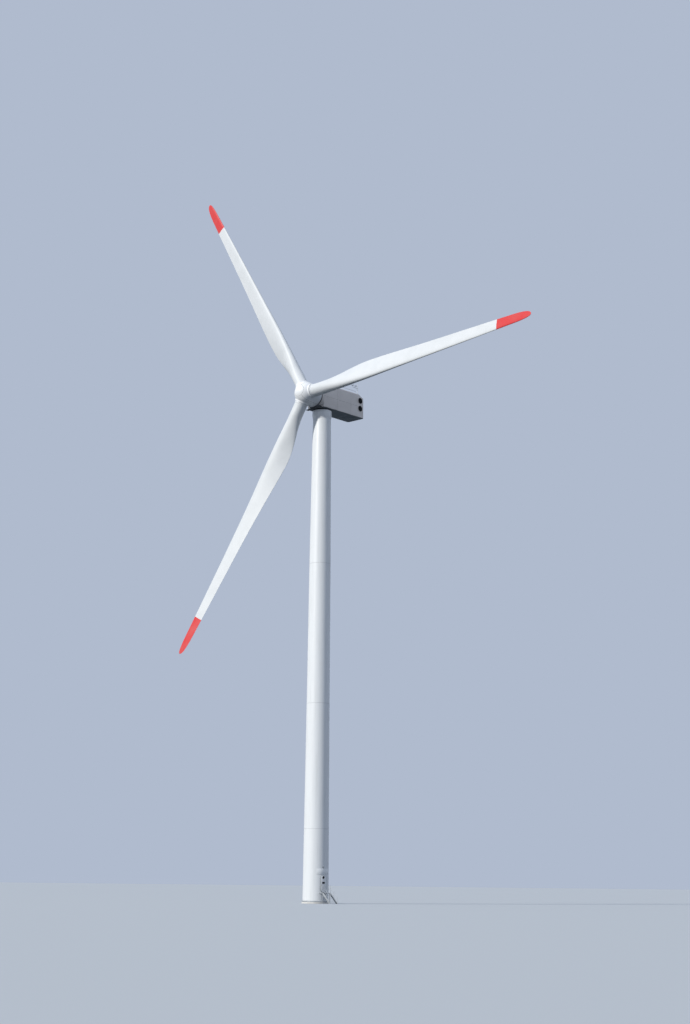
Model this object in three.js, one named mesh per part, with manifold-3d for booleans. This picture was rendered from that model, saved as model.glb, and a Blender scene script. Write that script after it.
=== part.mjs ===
// Three-bladed wind turbine on a tubular steel tower, as a model at one tenth of the real size.
// Units are millimetres and +Z is up. The origin is the middle of the foundation's underside.
// The tower door faces +X, and the rotor faces a little to the door's side of -Y.
import * as THREE from "three";
import { mergeVertices } from "three/addons/utils/BufferGeometryUtils.js";
import Module from "manifold-3d";

const wasm = await Module();
wasm.setup();

// One metre of the real machine, in millimetres of the model
const METRE = 100;
const DEG = Math.PI / 180;
// Gap kept where two pieces are fitted to each other
const FIT = 0.3;
// Turn of the nacelle and the rotor about the tower, from facing -Y towards the door's side
const HEADING = 11.5 * DEG;

// Tower: heights and outer radii of its conical sections
const PLINTH_TOP = 0.2 * METRE;
const PLINTH_RADIUS = 2.12 * METRE;
const BASE_FLANGE_TOP = 0.32 * METRE;
const BASE_FLANGE_RADIUS = 2.1 * METRE;
const BASE_FLANGE_BORE = 1.84 * METRE;
const BASE_CAN_TOP = 6.4 * METRE;
const JOINT_HEIGHTS = [11.2, 30.5, 52.75].map((z) => z * METRE);
const SHOULDER_START = 73.3 * METRE;
const SHOULDER_END = 76.6 * METRE;
const TOWER_TOP = 78.0 * METRE;
const TOWER_PROFILE = [
  [0, 2.0],
  [11.2, 1.926],
  [30.5, 1.8],
  [52.75, 1.69],
  [73.3, 1.515],
  [75.2, 1.42],
  [76.6, 1.31],
  [78.0, 1.29],
].map(([z, r]) => [z * METRE, r * METRE]);
const BASE_WALL = 0.04 * METRE;
const UPPER_WALL = 0.03 * METRE;
const FLANGE_HEIGHT = 0.24 * METRE;
const FLANGE_WIDTH = 0.12 * METRE;
const TOWER_SIDES = 40;
const YAW_RING_RADIUS = 1.36 * METRE;
const YAW_RING_BORE = 1.08 * METRE;
const TURNTABLE_RADIUS = 1.44 * METRE;
const TURNTABLE_BORE = 1.0 * METRE;

// Tower door: a steel frame with round ends in the wall, and a flat leaf over it
const SILL = 1.7 * METRE;
const DOOR_HEIGHT = 2.5 * METRE;
const DOOR_HALF_WIDTH = 0.475 * METRE;
const FRAME_WIDTH = 0.06 * METRE;
const FRAME_BACK = 1.84 * METRE;
const FRAME_FRONT = 2.03 * METRE;
const WALL_STRIP = 0.55 * METRE;
const LEAF_OVERLAP = 0.02 * METRE;
const LEAF_THICKNESS = 0.03 * METRE;
const HINGE_X = FRAME_FRONT + FIT + LEAF_THICKNESS / 2;
const HINGE_Y = 0.525 * METRE;
const HINGE_HEIGHTS = [2.35, 3.45].map((z) => z * METRE);
const KNUCKLE_HEIGHT = 0.1 * METRE;
const PIN_RADIUS = 0.018 * METRE;
const HANDLE_Y = -0.4 * METRE;
const HANDLE_HEIGHT = 2.66 * METRE;

// Fittings of the door and the wall over it
const LOUVRE = { halfWidth: 0.24 * METRE, low: 2.97 * METRE, high: 3.23 * METRE, depth: 0.02 * METRE };
const DOOR_VENT = { radius: 0.2 * METRE, z: 3.9 * METRE, depth: 0.03 * METRE };
const SIGN = { halfAngle: 31 * DEG, low: 4.32 * METRE, high: 5.18 * METRE, thickness: 0.03 * METRE };
const LAMP = { radius: 0.13 * METRE, z: 5.4 * METRE, front: 2.14 * METRE };

// Platform and stair outside the door
const PLATFORM_TOP = 1.6 * METRE;
const PLATFORM_HALF_WIDTH = 0.69 * METRE;
const PLATFORM_END = 2.96 * METRE;
const PLATE = 0.05 * METRE;
const BEAM_DEPTH = 0.22 * METRE;
const BEAM_END = 2.5 * METRE;
const BEAM_SPACING = 0.5 * METRE;
const POST_HALF_WIDTH = 0.04 * METRE;
const STAIR_FOOT = 4.8 * METRE;
const STRINGER_DEPTH = 0.34 * METRE;
const STEP_COUNT = 7;
const RAIL_HEIGHT = 1.05 * METRE;
const RAIL_RADIUS = 0.02 * METRE;
// The rail posts stand against the outer sides of the deck and the stringers
const RAIL_Y = PLATFORM_HALF_WIDTH + FIT + RAIL_RADIUS;

// Nacelle housing
const NACELLE_HALF_WIDTH = 1.8 * METRE;
const NACELLE_FLOOR = 78.26 * METRE;
const NACELLE_SPLIT = 80.1 * METRE;
const NACELLE_ROOF = 82.2 * METRE;
const NACELLE_FRONT = -1.45 * METRE;
const NACELLE_TAIL = 8.25 * METRE;
const TAIL_CHAMFER_BACK = 1.2 * METRE;
const TAIL_CHAMFER_DOWN = 0.8 * METRE;
const VENT_RADIUS = 0.56 * METRE;
const VENT_Y = NACELLE_TAIL - 1.05 * METRE;
const VENT_HEIGHTS = { lower: 1.5 * METRE, upper: 2.82 * METRE };
const VENT_DEPTH = 0.06 * METRE;
const ROOF_HATCH = { halfWidth: 0.5 * METRE, front: 2.6 * METRE, rear: 3.6 * METRE, height: 0.1 * METRE };
const FLOOR_HATCH = { halfWidth: 0.75 * METRE, front: 5.4 * METRE, rear: 7.2 * METRE, depth: 0.04 * METRE };
const ROOF_RAIL = { x: 1.35 * METRE, height: 0.45 * METRE, radius: 0.025 * METRE };
const ROOF_RAIL_POSTS = [2.0, 3.5, 5.0, 6.5].map((y) => y * METRE);
// Weather mast at the roof's rear right corner, with one arm that reaches forward to the sensors
const MAST = { x: 1.5 * METRE, y: 6.88 * METRE, height: 1.9 * METRE, radius: 0.035 * METRE };
const MAST_ARM = { height: 1.0 * METRE, reach: 1.2 * METRE };
// Rubber apron under the gap between the spinner and the housing
const APRON = { halfWidth: 1.75 * METRE, front: -2.1 * METRE, low: 78.14 * METRE, high: 78.28 * METRE };

// Rotor: the shaft is tilted up towards the nose
const SHAFT_TILT = 5 * DEG;
const HUB_HEIGHT = 80.28 * METRE;
const OVERHANG = 3.87 * METRE;
const SPINNER_RADIUS = 1.85 * METRE;
// Skirt behind the spinner's round front: distance behind the hub's middle and radius
const SKIRT_PROFILE = [
  [0.6, 1.85],
  [1.1, 1.83],
  [1.55, 1.79],
  [1.98, 1.72],
].map(([y, r]) => [y * METRE, r * METRE]);
const SPINNER_REAR = 1.98 * METRE;
const SHAFT_RADIUS = 0.9 * METRE;
// The cowl's front ring, and the half sizes and squareness of its back on the housing
const COWL_END = 2.14 * METRE;
const COWL_RADIUS = 1.74 * METRE;
const COWL_BACK = { width: 1.79 * METRE, height: 1.93 * METRE, power: 2.6 };
const BLADE_COUNT = 3;
const BLADE_PHASE = -32.6 * DEG;
const BEARING_SEAT = 1.35 * METRE;
const BEARING_RADIUS = 1.0 * METRE;
const BEARING_HEIGHT = 0.117 * METRE;
const BLADE_ROOT = BEARING_SEAT + BEARING_HEIGHT + 2 * FIT;
const SOCKET_RADIUS = 1.09 * METRE;
const SOCKET_SIDES = 28;
// A short sleeve of the spinner round each blade, and the blade's rain collar over its end
const SLEEVE_RADIUS = 1.17 * METRE;
const SLEEVE_START = 0.9 * METRE;
const SLEEVE_END = 1.7 * METRE;
const COLLAR_RADIUS = 1.1 * METRE;
const COLLAR_START = 1.78 * METRE;
const COLLAR_END = 1.95 * METRE;
const COLLAR_SPACE = 1.19 * METRE;
const TIP_RADIUS = 46.79 * METRE;
const TIP_PREBEND = 2.59 * METRE;
const PREBEND_START = 3 * METRE;
const PREBEND_POWER = 1.2;
// Blade stations: radius, chord in metres, thickness by chord, nose by chord, twist in degrees
const BLADE_STATIONS = [
  [3.4, 2.05, 1.0, 0.5, 18],
  [5.5, 2.35, 0.78, 0.44, 18],
  [7.5, 2.9, 0.54, 0.38, 18],
  [9.5, 3.35, 0.41, 0.34, 18],
  [11.7, 3.55, 0.34, 0.32, 16.5],
  [14.0, 3.45, 0.3, 0.32, 13.5],
  [18.7, 3.0, 0.26, 0.32, 9],
  [23.4, 2.6, 0.23, 0.33, 6.5],
  [28.1, 2.3, 0.21, 0.34, 5],
  [32.8, 2.05, 0.2, 0.35, 4],
  [37.4, 1.8, 0.18, 0.36, 3],
  [42.1, 1.55, 0.18, 0.38, 2.3],
  [44.6, 1.38, 0.17, 0.4, 2],
  [46.0, 1.02, 0.17, 0.42, 2],
  [46.6, 0.6, 0.17, 0.45, 2],
];
const TIP_CHORD = 0.16 * METRE;
const SECTION_POINTS = 20;

const COLOURS = {
  paint: ["#e9ecee", 0.45, 0.0],
  shade: ["#b9bec2", 0.55, 0.0],
  steel: ["#8d9296", 0.5, 0.6],
  dark: ["#22272c", 0.7, 0.0],
  concrete: ["#a9a69e", 0.9, 0.0],
};

const turbine = new THREE.Group();

// Shapes as solids that can be joined and cut
function toSolid(geometry) {
  const bare = geometry.clone();
  bare.deleteAttribute("normal");
  bare.deleteAttribute("uv");
  const merged = mergeVertices(bare, 1e-4);
  return new wasm.Manifold(
    new wasm.Mesh({
      numProp: 3,
      vertProperties: new Float32Array(merged.attributes.position.array),
      triVerts: new Uint32Array(merged.index.array),
    }),
  );
}

function toGeometry(solid) {
  const mesh = solid.getMesh();
  const geometry = new THREE.BufferGeometry();
  geometry.setAttribute("position", new THREE.BufferAttribute(mesh.vertProperties, 3));
  geometry.setIndex(new THREE.BufferAttribute(mesh.triVerts, 1));
  geometry.computeVertexNormals();
  return geometry;
}

function addPiece(parent, name, shape, colour) {
  const [color, roughness, metalness] = COLOURS[colour];
  const material = new THREE.MeshStandardMaterial({ color, roughness, metalness });
  const geometry = shape.isBufferGeometry ? shape : toGeometry(shape);
  const mesh = new THREE.Mesh(geometry, material);
  mesh.name = name;
  parent.add(mesh);
  return mesh;
}

function block(low, high) {
  const size = high.map((value, i) => value - low[i]);
  const middle = high.map((value, i) => (value + low[i]) / 2);
  return new THREE.BoxGeometry(...size).translate(...middle);
}

// A round bar between two points
function bar(from, to, radius, sides = 8) {
  const start = new THREE.Vector3(...from);
  const end = new THREE.Vector3(...to);
  const along = end.clone().sub(start);
  const turn = new THREE.Quaternion().setFromUnitVectors(
    new THREE.Vector3(0, 1, 0),
    along.clone().normalize(),
  );
  return new THREE.CylinderGeometry(radius, radius, along.length(), sides)
    .applyQuaternion(turn)
    .translate(...start.add(end).divideScalar(2).toArray());
}

function joined(...geometries) {
  return geometries.map(toSolid).reduce((sum, solid) => sum.add(solid));
}

// A turned solid about Z, from its outline as pairs of radius and height
function turned(outline, sides = TOWER_SIDES) {
  const points = outline.map(([r, z]) => new THREE.Vector2(r, z));
  return new THREE.LatheGeometry(points, sides).rotateX(Math.PI / 2);
}

function tube(stations, sides = TOWER_SIDES) {
  const outer = stations.map(([z, outside]) => [outside, z]);
  const inner = stations.map(([z, , inside]) => [inside, z]).reverse();
  return turned([...outer, ...inner, outer[0]], sides);
}

function disc(radius, low, high, sides = TOWER_SIDES) {
  return turned([[0, low], [radius, low], [radius, high], [0, high]], sides);
}

function towerRadius(z) {
  const above = TOWER_PROFILE.findIndex(([height]) => height > z);
  const i = above < 0 ? TOWER_PROFILE.length - 1 : above;
  const [z0, r0] = TOWER_PROFILE[i - 1];
  const [z1, r1] = TOWER_PROFILE[i];
  return r0 + ((r1 - r0) * (z - z0)) / (z1 - z0);
}

function towerTube(low, high, wall) {
  const between = TOWER_PROFILE.map(([z]) => z).filter((z) => z > low + 1 && z < high - 1);
  const heights = [low, ...between, high];
  return tube(heights.map((z) => [z, towerRadius(z), towerRadius(z) - wall]));
}

// A solid that fills the tower's outer shape plus a fitting gap, for cutting what is seated on it
function towerCutter(low, high) {
  const outline = [[0, low], [towerRadius(low) + FIT, low], [towerRadius(high) + FIT, high], [0, high]];
  return toSolid(turned(outline));
}

// An upright plate with round ends, facing +X
function doorShape(halfWidth, low, high) {
  const shape = new THREE.Shape();
  shape.absarc(0, high - halfWidth, halfWidth, 0, Math.PI);
  shape.absarc(0, low + halfWidth, halfWidth, Math.PI, 2 * Math.PI);
  return shape;
}

function doorPlate(shape, back, front) {
  const options = { depth: front - back, bevelEnabled: false, curveSegments: 10 };
  const geometry = new THREE.ExtrudeGeometry(shape, options);
  const axes = new THREE.Matrix4().makeBasis(
    new THREE.Vector3(0, 1, 0),
    new THREE.Vector3(0, 0, 1),
    new THREE.Vector3(1, 0, 0),
  );
  return geometry.applyMatrix4(axes).translate(back, 0, 0);
}

function buildFoundation() {
  addPiece(turbine, "foundation_plinth", disc(PLINTH_RADIUS, 0, PLINTH_TOP), "concrete");
  const flange = tube([
    [PLINTH_TOP, BASE_FLANGE_RADIUS, BASE_FLANGE_BORE],
    [BASE_FLANGE_TOP, BASE_FLANGE_RADIUS, BASE_FLANGE_BORE],
  ]);
  addPiece(turbine, "base_flange", flange, "paint");
}

function buildBaseCan() {
  const opening = doorShape(
    DOOR_HALF_WIDTH + FRAME_WIDTH + FIT,
    SILL - FRAME_WIDTH - FIT,
    SILL + DOOR_HEIGHT + FRAME_WIDTH + FIT,
  );
  const can = toSolid(towerTube(BASE_FLANGE_TOP, BASE_CAN_TOP, BASE_WALL)).subtract(
    toSolid(doorPlate(opening, 1.5 * METRE, 2.4 * METRE)),
  );
  const far = 3 * METRE;
  const seam = FIT / 2;
  const middle = SILL + DOOR_HEIGHT / 2;
  const regions = {
    base_wall_far_nose: [[-far, -far, 0], [-seam, -seam, BASE_CAN_TOP]],
    base_wall_far_tail: [[-far, seam, 0], [-seam, far, BASE_CAN_TOP]],
    base_wall_door_nose: [[seam, -far, 0], [far, -WALL_STRIP - seam, BASE_CAN_TOP]],
    base_wall_door_tail: [[seam, WALL_STRIP + seam, 0], [far, far, BASE_CAN_TOP]],
    base_wall_under_door: [[seam, -WALL_STRIP + seam, 0], [far, WALL_STRIP - seam, middle]],
    base_wall_over_door: [[seam, -WALL_STRIP + seam, middle], [far, WALL_STRIP - seam, BASE_CAN_TOP]],
  };
  for (const [name, [low, high]] of Object.entries(regions)) {
    addPiece(turbine, name, can.intersect(toSolid(block(low, high))), "paint");
  }
}

function buildTowerSections() {
  const [first, second, third] = JOINT_HEIGHTS;
  const half = FLANGE_HEIGHT / 2;
  const upperCan = towerTube(BASE_CAN_TOP, first - half, BASE_WALL);
  addPiece(turbine, "tower_section_1", upperCan, "paint");
  addPiece(turbine, "tower_section_2", towerTube(first + half, second - half, UPPER_WALL), "paint");
  addPiece(turbine, "tower_section_3", towerTube(second + half, third - half, UPPER_WALL), "paint");
  addPiece(turbine, "tower_section_4", towerTube(third + half, SHOULDER_START, UPPER_WALL), "paint");
  addPiece(turbine, "tower_shoulder", towerTube(SHOULDER_START, SHOULDER_END, UPPER_WALL), "paint");
  addPiece(turbine, "tower_neck", towerTube(SHOULDER_END, TOWER_TOP, UPPER_WALL), "shade");
  JOINT_HEIGHTS.forEach((z, i) => {
    const ring = tube(
      [z - half, z + half].map((edge) => [
        edge,
        towerRadius(edge) + FIT,
        towerRadius(edge) - UPPER_WALL - FLANGE_WIDTH,
      ]),
    );
    addPiece(turbine, `tower_flange_${i + 1}`, ring, "shade");
  });
}

function buildYawBearing(nacelle) {
  const top = NACELLE_FLOOR;
  const middle = (TOWER_TOP + top) / 2;
  const fixed = tube([
    [TOWER_TOP, YAW_RING_RADIUS, YAW_RING_BORE],
    [middle - FIT / 2, YAW_RING_RADIUS, YAW_RING_BORE],
  ]);
  addPiece(turbine, "yaw_ring", fixed, "steel");
  const turning = tube([
    [middle + FIT / 2, TURNTABLE_RADIUS, TURNTABLE_BORE],
    [top, TURNTABLE_RADIUS, TURNTABLE_BORE],
  ]);
  addPiece(nacelle, "yaw_turntable", turning, "dark");
}

function buildDoor() {
  const top = SILL + DOOR_HEIGHT;
  const outline = doorShape(DOOR_HALF_WIDTH + FRAME_WIDTH, SILL - FRAME_WIDTH, top + FRAME_WIDTH);
  outline.holes.push(doorShape(DOOR_HALF_WIDTH, SILL, top));
  const halfTab = 0.8;
  let frame = toSolid(doorPlate(outline, FRAME_BACK, FRAME_FRONT));
  let leaf = toSolid(
    doorPlate(
      doorShape(DOOR_HALF_WIDTH + LEAF_OVERLAP, SILL - LEAF_OVERLAP, top + LEAF_OVERLAP),
      FRAME_FRONT + FIT,
      FRAME_FRONT + FIT + LEAF_THICKNESS,
    ),
  );
  for (const z of HINGE_HEIGHTS) {
    const fixedKnuckle = bar([HINGE_X, HINGE_Y, z - KNUCKLE_HEIGHT], [HINGE_X, HINGE_Y, z], PIN_RADIUS);
    const fixedTab = block(
      [FRAME_FRONT - 1, HINGE_Y - halfTab, z - KNUCKLE_HEIGHT],
      [HINGE_X, HINGE_Y + halfTab, z],
    );
    frame = frame.add(joined(fixedKnuckle, fixedTab));
    const low = z + FIT;
    const high = z + FIT + KNUCKLE_HEIGHT;
    const swingKnuckle = bar([HINGE_X, HINGE_Y, low], [HINGE_X, HINGE_Y, high], PIN_RADIUS);
    const swingTab = block(
      [HINGE_X - halfTab, DOOR_HALF_WIDTH + LEAF_OVERLAP - 1, low],
      [HINGE_X + halfTab, HINGE_Y, high],
    );
    leaf = leaf.add(joined(swingKnuckle, swingTab));
  }
  addPiece(turbine, "door_frame", frame, "paint");
  addPiece(turbine, "door_leaf", leaf, "shade");

  const face = FRAME_FRONT + FIT + LEAF_THICKNESS;
  const louvre = block(
    [face, -LOUVRE.halfWidth, LOUVRE.low],
    [face + LOUVRE.depth, LOUVRE.halfWidth, LOUVRE.high],
  );
  addPiece(turbine, "door_louvre", louvre, "dark");
  const vent = bar([face, 0, DOOR_VENT.z], [face + DOOR_VENT.depth, 0, DOOR_VENT.z], DOOR_VENT.radius, 20);
  addPiece(turbine, "door_round_vent", vent, "dark");
  const handle = joined(
    block(
      [face, HANDLE_Y, HANDLE_HEIGHT],
      [face + 0.03 * METRE, HANDLE_Y + 0.06 * METRE, HANDLE_HEIGHT + 0.2 * METRE],
    ),
    block(
      [face + 0.02 * METRE, HANDLE_Y, HANDLE_HEIGHT + 0.08 * METRE],
      [face + 0.045 * METRE, HANDLE_Y + 0.16 * METRE, HANDLE_HEIGHT + 0.11 * METRE],
    ),
  );
  addPiece(turbine, "door_handle", handle, "steel");
}

function buildEntranceFloor() {
  const thickness = 0.04 * METRE;
  const radius = towerRadius(SILL) - BASE_WALL - FIT;
  const plate = toSolid(disc(radius, SILL - thickness, SILL)).subtract(
    toSolid(
      block(
        [FRAME_BACK - FIT, -WALL_STRIP - 1, SILL - METRE],
        [FRAME_BACK + METRE, WALL_STRIP + 1, SILL + METRE],
      ),
    ),
  );
  addPiece(turbine, "entrance_floor", plate, "steel");
}

function buildDoorFittings() {
  const inner = [SIGN.low, SIGN.high].map((z) => [z, towerRadius(z) + FIT]);
  const sheet = tube(inner.map(([z, radius]) => [z, radius + SIGN.thickness, radius]));
  const far = 3 * METRE;
  const wedge = new THREE.Shape([
    new THREE.Vector2(0, 0),
    new THREE.Vector2(far, -far * Math.tan(SIGN.halfAngle)),
    new THREE.Vector2(far, far * Math.tan(SIGN.halfAngle)),
  ]);
  const part = new THREE.ExtrudeGeometry(wedge, { depth: BASE_CAN_TOP, bevelEnabled: false });
  addPiece(turbine, "sign_plate", toSolid(sheet).intersect(toSolid(part)), "paint");
  const lamp = toSolid(
    bar([LAMP.front - 0.34 * METRE, 0, LAMP.z], [LAMP.front, 0, LAMP.z], LAMP.radius, 16),
  ).subtract(towerCutter(3 * METRE, BASE_CAN_TOP));
  addPiece(turbine, "door_lamp", lamp, "dark");
}

function buildPlatform() {
  const w = PLATFORM_HALF_WIDTH;
  const inside = 1.7 * METRE;
  const under = PLATFORM_TOP - 1;
  const deck = block([inside, -w, PLATFORM_TOP - PLATE], [PLATFORM_END, w, PLATFORM_TOP]);
  const parts = [deck];
  const half = POST_HALF_WIDTH;
  for (const y of [-BEAM_SPACING, 0, BEAM_SPACING]) {
    parts.push(block([inside, y - half, PLATFORM_TOP - BEAM_DEPTH], [BEAM_END, y + half, under]));
  }
  const postX = PLATFORM_END - 0.1 * METRE;
  const postY = w - 0.05 * METRE;
  for (const y of [-postY, postY]) {
    parts.push(block([postX - half, y - half, 0], [postX + half, y + half, under]));
  }
  const platform = joined(...parts).subtract(towerCutter(0, 3 * METRE));
  addPiece(turbine, "stair_platform", platform, "steel");
}

function buildStair() {
  const rise = PLATFORM_TOP / (STEP_COUNT + 1);
  const start = PLATFORM_END + FIT;
  const run = (STAIR_FOOT - start) / (STEP_COUNT + 1);
  const half = PLATFORM_HALF_WIDTH;
  const outline = new THREE.Shape([
    new THREE.Vector2(start, PLATFORM_TOP),
    new THREE.Vector2(start, PLATFORM_TOP - STRINGER_DEPTH),
    new THREE.Vector2(STAIR_FOOT - 0.3 * METRE, 0),
    new THREE.Vector2(STAIR_FOOT + 0.05 * METRE, 0),
    new THREE.Vector2(STAIR_FOOT + 0.05 * METRE, 0.1 * METRE),
    new THREE.Vector2(start + 0.08 * METRE, PLATFORM_TOP),
  ]);
  const thickness = 0.05 * METRE;
  const parts = [-half, half - thickness].map((y) =>
    new THREE.ExtrudeGeometry(outline, { depth: thickness, bevelEnabled: false })
      .rotateX(Math.PI / 2)
      .translate(0, y + thickness, 0),
  );
  for (let i = 1; i <= STEP_COUNT; i += 1) {
    const top = PLATFORM_TOP - i * rise;
    const x = start + i * run;
    parts.push(
      block(
        [x - 0.15 * METRE, -half + 1, top - 0.04 * METRE],
        [x + 0.12 * METRE, half - 1, top],
      ),
    );
  }
  addPiece(turbine, "stair_flight", joined(...parts), "steel");
}

function buildRails() {
  const slope = PLATFORM_TOP / (STAIR_FOOT - PLATFORM_END);
  for (const [side, sign] of [["nose", -1], ["tail", 1]]) {
    const y = sign * RAIL_Y;
    const wallX = 2.12 * METRE;
    const cornerX = PLATFORM_END - 0.03 * METRE;
    const lastX = STAIR_FOOT - 0.1 * METRE;
    const deckAt = (x) => PLATFORM_TOP - Math.max(0, x - PLATFORM_END) * slope;
    const parts = [];
    for (const level of [RAIL_HEIGHT, RAIL_HEIGHT / 2]) {
      parts.push(bar([wallX, y, PLATFORM_TOP + level], [cornerX, y, PLATFORM_TOP + level], RAIL_RADIUS));
      parts.push(
        bar([cornerX - 0.6, y, PLATFORM_TOP + level], [lastX, y, deckAt(lastX) + level], RAIL_RADIUS),
      );
    }
    for (const x of [wallX, cornerX, (cornerX + lastX) / 2, lastX]) {
      const foot = Math.max(0, deckAt(x) - (x > PLATFORM_END ? 0.1 * METRE : PLATE));
      parts.push(bar([x, y, foot], [x, y, deckAt(x) + RAIL_HEIGHT], RAIL_RADIUS));
    }
    addPiece(turbine, `stair_rail_${side}`, joined(...parts), "steel");
  }
}

function buildHousing(nacelle) {
  const profile = new THREE.Shape([
    new THREE.Vector2(NACELLE_FRONT, NACELLE_FLOOR),
    new THREE.Vector2(NACELLE_TAIL, NACELLE_FLOOR),
    new THREE.Vector2(NACELLE_TAIL, NACELLE_ROOF - TAIL_CHAMFER_DOWN),
    new THREE.Vector2(NACELLE_TAIL - TAIL_CHAMFER_BACK, NACELLE_ROOF),
    new THREE.Vector2(NACELLE_FRONT, NACELLE_ROOF),
  ]);
  const axes = new THREE.Matrix4().makeBasis(
    new THREE.Vector3(0, 1, 0),
    new THREE.Vector3(0, 0, 1),
    new THREE.Vector3(1, 0, 0),
  );
  const long = new THREE.ExtrudeGeometry(profile, { depth: 2 * NACELLE_HALF_WIDTH, bevelEnabled: false })
    .applyMatrix4(axes)
    .translate(-NACELLE_HALF_WIDTH, 0, 0);
  const corner = 0.45 * METRE;
  const plan = new THREE.Shape();
  plan.moveTo(-NACELLE_HALF_WIDTH, NACELLE_FRONT);
  plan.lineTo(NACELLE_HALF_WIDTH, NACELLE_FRONT);
  plan.lineTo(NACELLE_HALF_WIDTH, NACELLE_TAIL - corner);
  plan.absarc(NACELLE_HALF_WIDTH - corner, NACELLE_TAIL - corner, corner, 0, Math.PI / 2);
  plan.absarc(-NACELLE_HALF_WIDTH + corner, NACELLE_TAIL - corner, corner, Math.PI / 2, Math.PI);
  const upright = new THREE.ExtrudeGeometry(plan, {
    depth: NACELLE_ROOF - NACELLE_FLOOR,
    bevelEnabled: false,
    curveSegments: 6,
  }).translate(0, 0, NACELLE_FLOOR);
  const housing = toSolid(long).intersect(toSolid(upright));
  const wide = 4 * METRE;
  const ends = [NACELLE_FRONT - METRE, NACELLE_TAIL + METRE];
  const lower = block([-wide, ends[0], NACELLE_FLOOR - METRE], [wide, ends[1], NACELLE_SPLIT - FIT / 2]);
  const upper = block([-wide, ends[0], NACELLE_SPLIT + FIT / 2], [wide, ends[1], NACELLE_ROOF + METRE]);
  addPiece(nacelle, "nacelle_lower_shell", housing.intersect(toSolid(lower)), "paint");
  addPiece(nacelle, "nacelle_upper_shell", housing.intersect(toSolid(upper)), "paint");
}

// A closed solid through a row of outlines that have the same number of points
function lofted(outlines) {
  const count = outlines[0].length;
  const points = outlines.flat();
  const first = points.length;
  const last = first + 1;
  for (const ends of [outlines[0], outlines[outlines.length - 1]]) {
    const middle = ends.reduce((sum, p) => sum.add(p), new THREE.Vector3()).divideScalar(count);
    points.push(middle);
  }
  const faces = [];
  for (let ring = 0; ring + 1 < outlines.length; ring += 1) {
    for (let i = 0; i < count; i += 1) {
      const a = ring * count + i;
      const b = ring * count + ((i + 1) % count);
      faces.push(a, b, b + count, a, b + count, a + count);
    }
  }
  const top = (outlines.length - 1) * count;
  for (let i = 0; i < count; i += 1) {
    const next = (i + 1) % count;
    faces.push(first, next, i);
    faces.push(last, top + i, top + next);
  }
  const geometry = new THREE.BufferGeometry().setFromPoints(points);
  geometry.setIndex(faces);
  geometry.computeVertexNormals();
  return geometry;
}

// The cowl on the housing's flat front ends in a round face square to the shaft
function buildCowl(nacelle) {
  const steps = 3;
  const sides = 48;
  const backMiddle = new THREE.Vector3(0, NACELLE_FRONT - FIT, (NACELLE_FLOOR + NACELLE_ROOF) / 2);
  const frontMiddle = new THREE.Vector3(
    0,
    -OVERHANG + COWL_END * Math.cos(SHAFT_TILT),
    HUB_HEIGHT - COWL_END * Math.sin(SHAFT_TILT),
  );
  const outlines = [];
  for (let step = 0; step <= steps; step += 1) {
    const part = step / steps;
    const middle = backMiddle.clone().lerp(frontMiddle, part);
    const power = THREE.MathUtils.lerp(COWL_BACK.power, 2, part);
    const width = THREE.MathUtils.lerp(COWL_BACK.width, COWL_RADIUS, part);
    const height = THREE.MathUtils.lerp(COWL_BACK.height, COWL_RADIUS, part);
    const tilt = SHAFT_TILT * part;
    const outline = [];
    for (let i = 0; i < sides; i += 1) {
      const angle = (2 * Math.PI * i) / sides;
      const c = Math.cos(angle);
      const s = Math.sin(angle);
      const reach = (Math.abs(c / width) ** power + Math.abs(s / height) ** power) ** (-1 / power);
      const up = reach * s;
      outline.push(
        new THREE.Vector3(reach * c, middle.y + up * Math.sin(tilt), middle.z + up * Math.cos(tilt)),
      );
    }
    outlines.push(outline);
  }
  addPiece(nacelle, "nacelle_front_cowl", lofted(outlines), "shade");
}

function buildVents(nacelle) {
  for (const [side, sign] of [["right", 1], ["left", -1]]) {
    for (const [level, height] of Object.entries(VENT_HEIGHTS)) {
      const z = NACELLE_FLOOR + height;
      const from = [sign * NACELLE_HALF_WIDTH, VENT_Y, z];
      const to = [sign * (NACELLE_HALF_WIDTH + VENT_DEPTH), VENT_Y, z];
      addPiece(nacelle, `vent_${side}_${level}`, bar(from, to, VENT_RADIUS, 28), "dark");
    }
  }
}

function buildRoof(nacelle) {
  const top = NACELLE_ROOF;
  const hatch = block(
    [-ROOF_HATCH.halfWidth, ROOF_HATCH.front, top],
    [ROOF_HATCH.halfWidth, ROOF_HATCH.rear, top + ROOF_HATCH.height],
  );
  addPiece(nacelle, "roof_hatch", hatch, "paint");
  const { height, radius } = ROOF_RAIL;
  const ends = [ROOF_RAIL_POSTS[0], ROOF_RAIL_POSTS[ROOF_RAIL_POSTS.length - 1]];
  for (const [side, sign] of [["right", 1], ["left", -1]]) {
    const x = sign * ROOF_RAIL.x;
    const parts = [bar([x, ends[0], top + height], [x, ends[1], top + height], radius)];
    for (const y of ROOF_RAIL_POSTS) {
      parts.push(bar([x, y, top], [x, y, top + height + radius / 2], radius));
    }
    addPiece(nacelle, `roof_rail_${side}`, joined(...parts), "steel");
  }
  const floorHatch = block(
    [-FLOOR_HATCH.halfWidth, FLOOR_HATCH.front, NACELLE_FLOOR - FLOOR_HATCH.depth],
    [FLOOR_HATCH.halfWidth, FLOOR_HATCH.rear, NACELLE_FLOOR],
  );
  addPiece(nacelle, "floor_hatch", floorHatch, "shade");
}

function buildApron(nacelle) {
  const plate = block(
    [-APRON.halfWidth, APRON.front, APRON.low],
    [APRON.halfWidth, NACELLE_FRONT - FIT, APRON.high],
  );
  addPiece(nacelle, "front_apron", plate, "dark");
}

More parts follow.
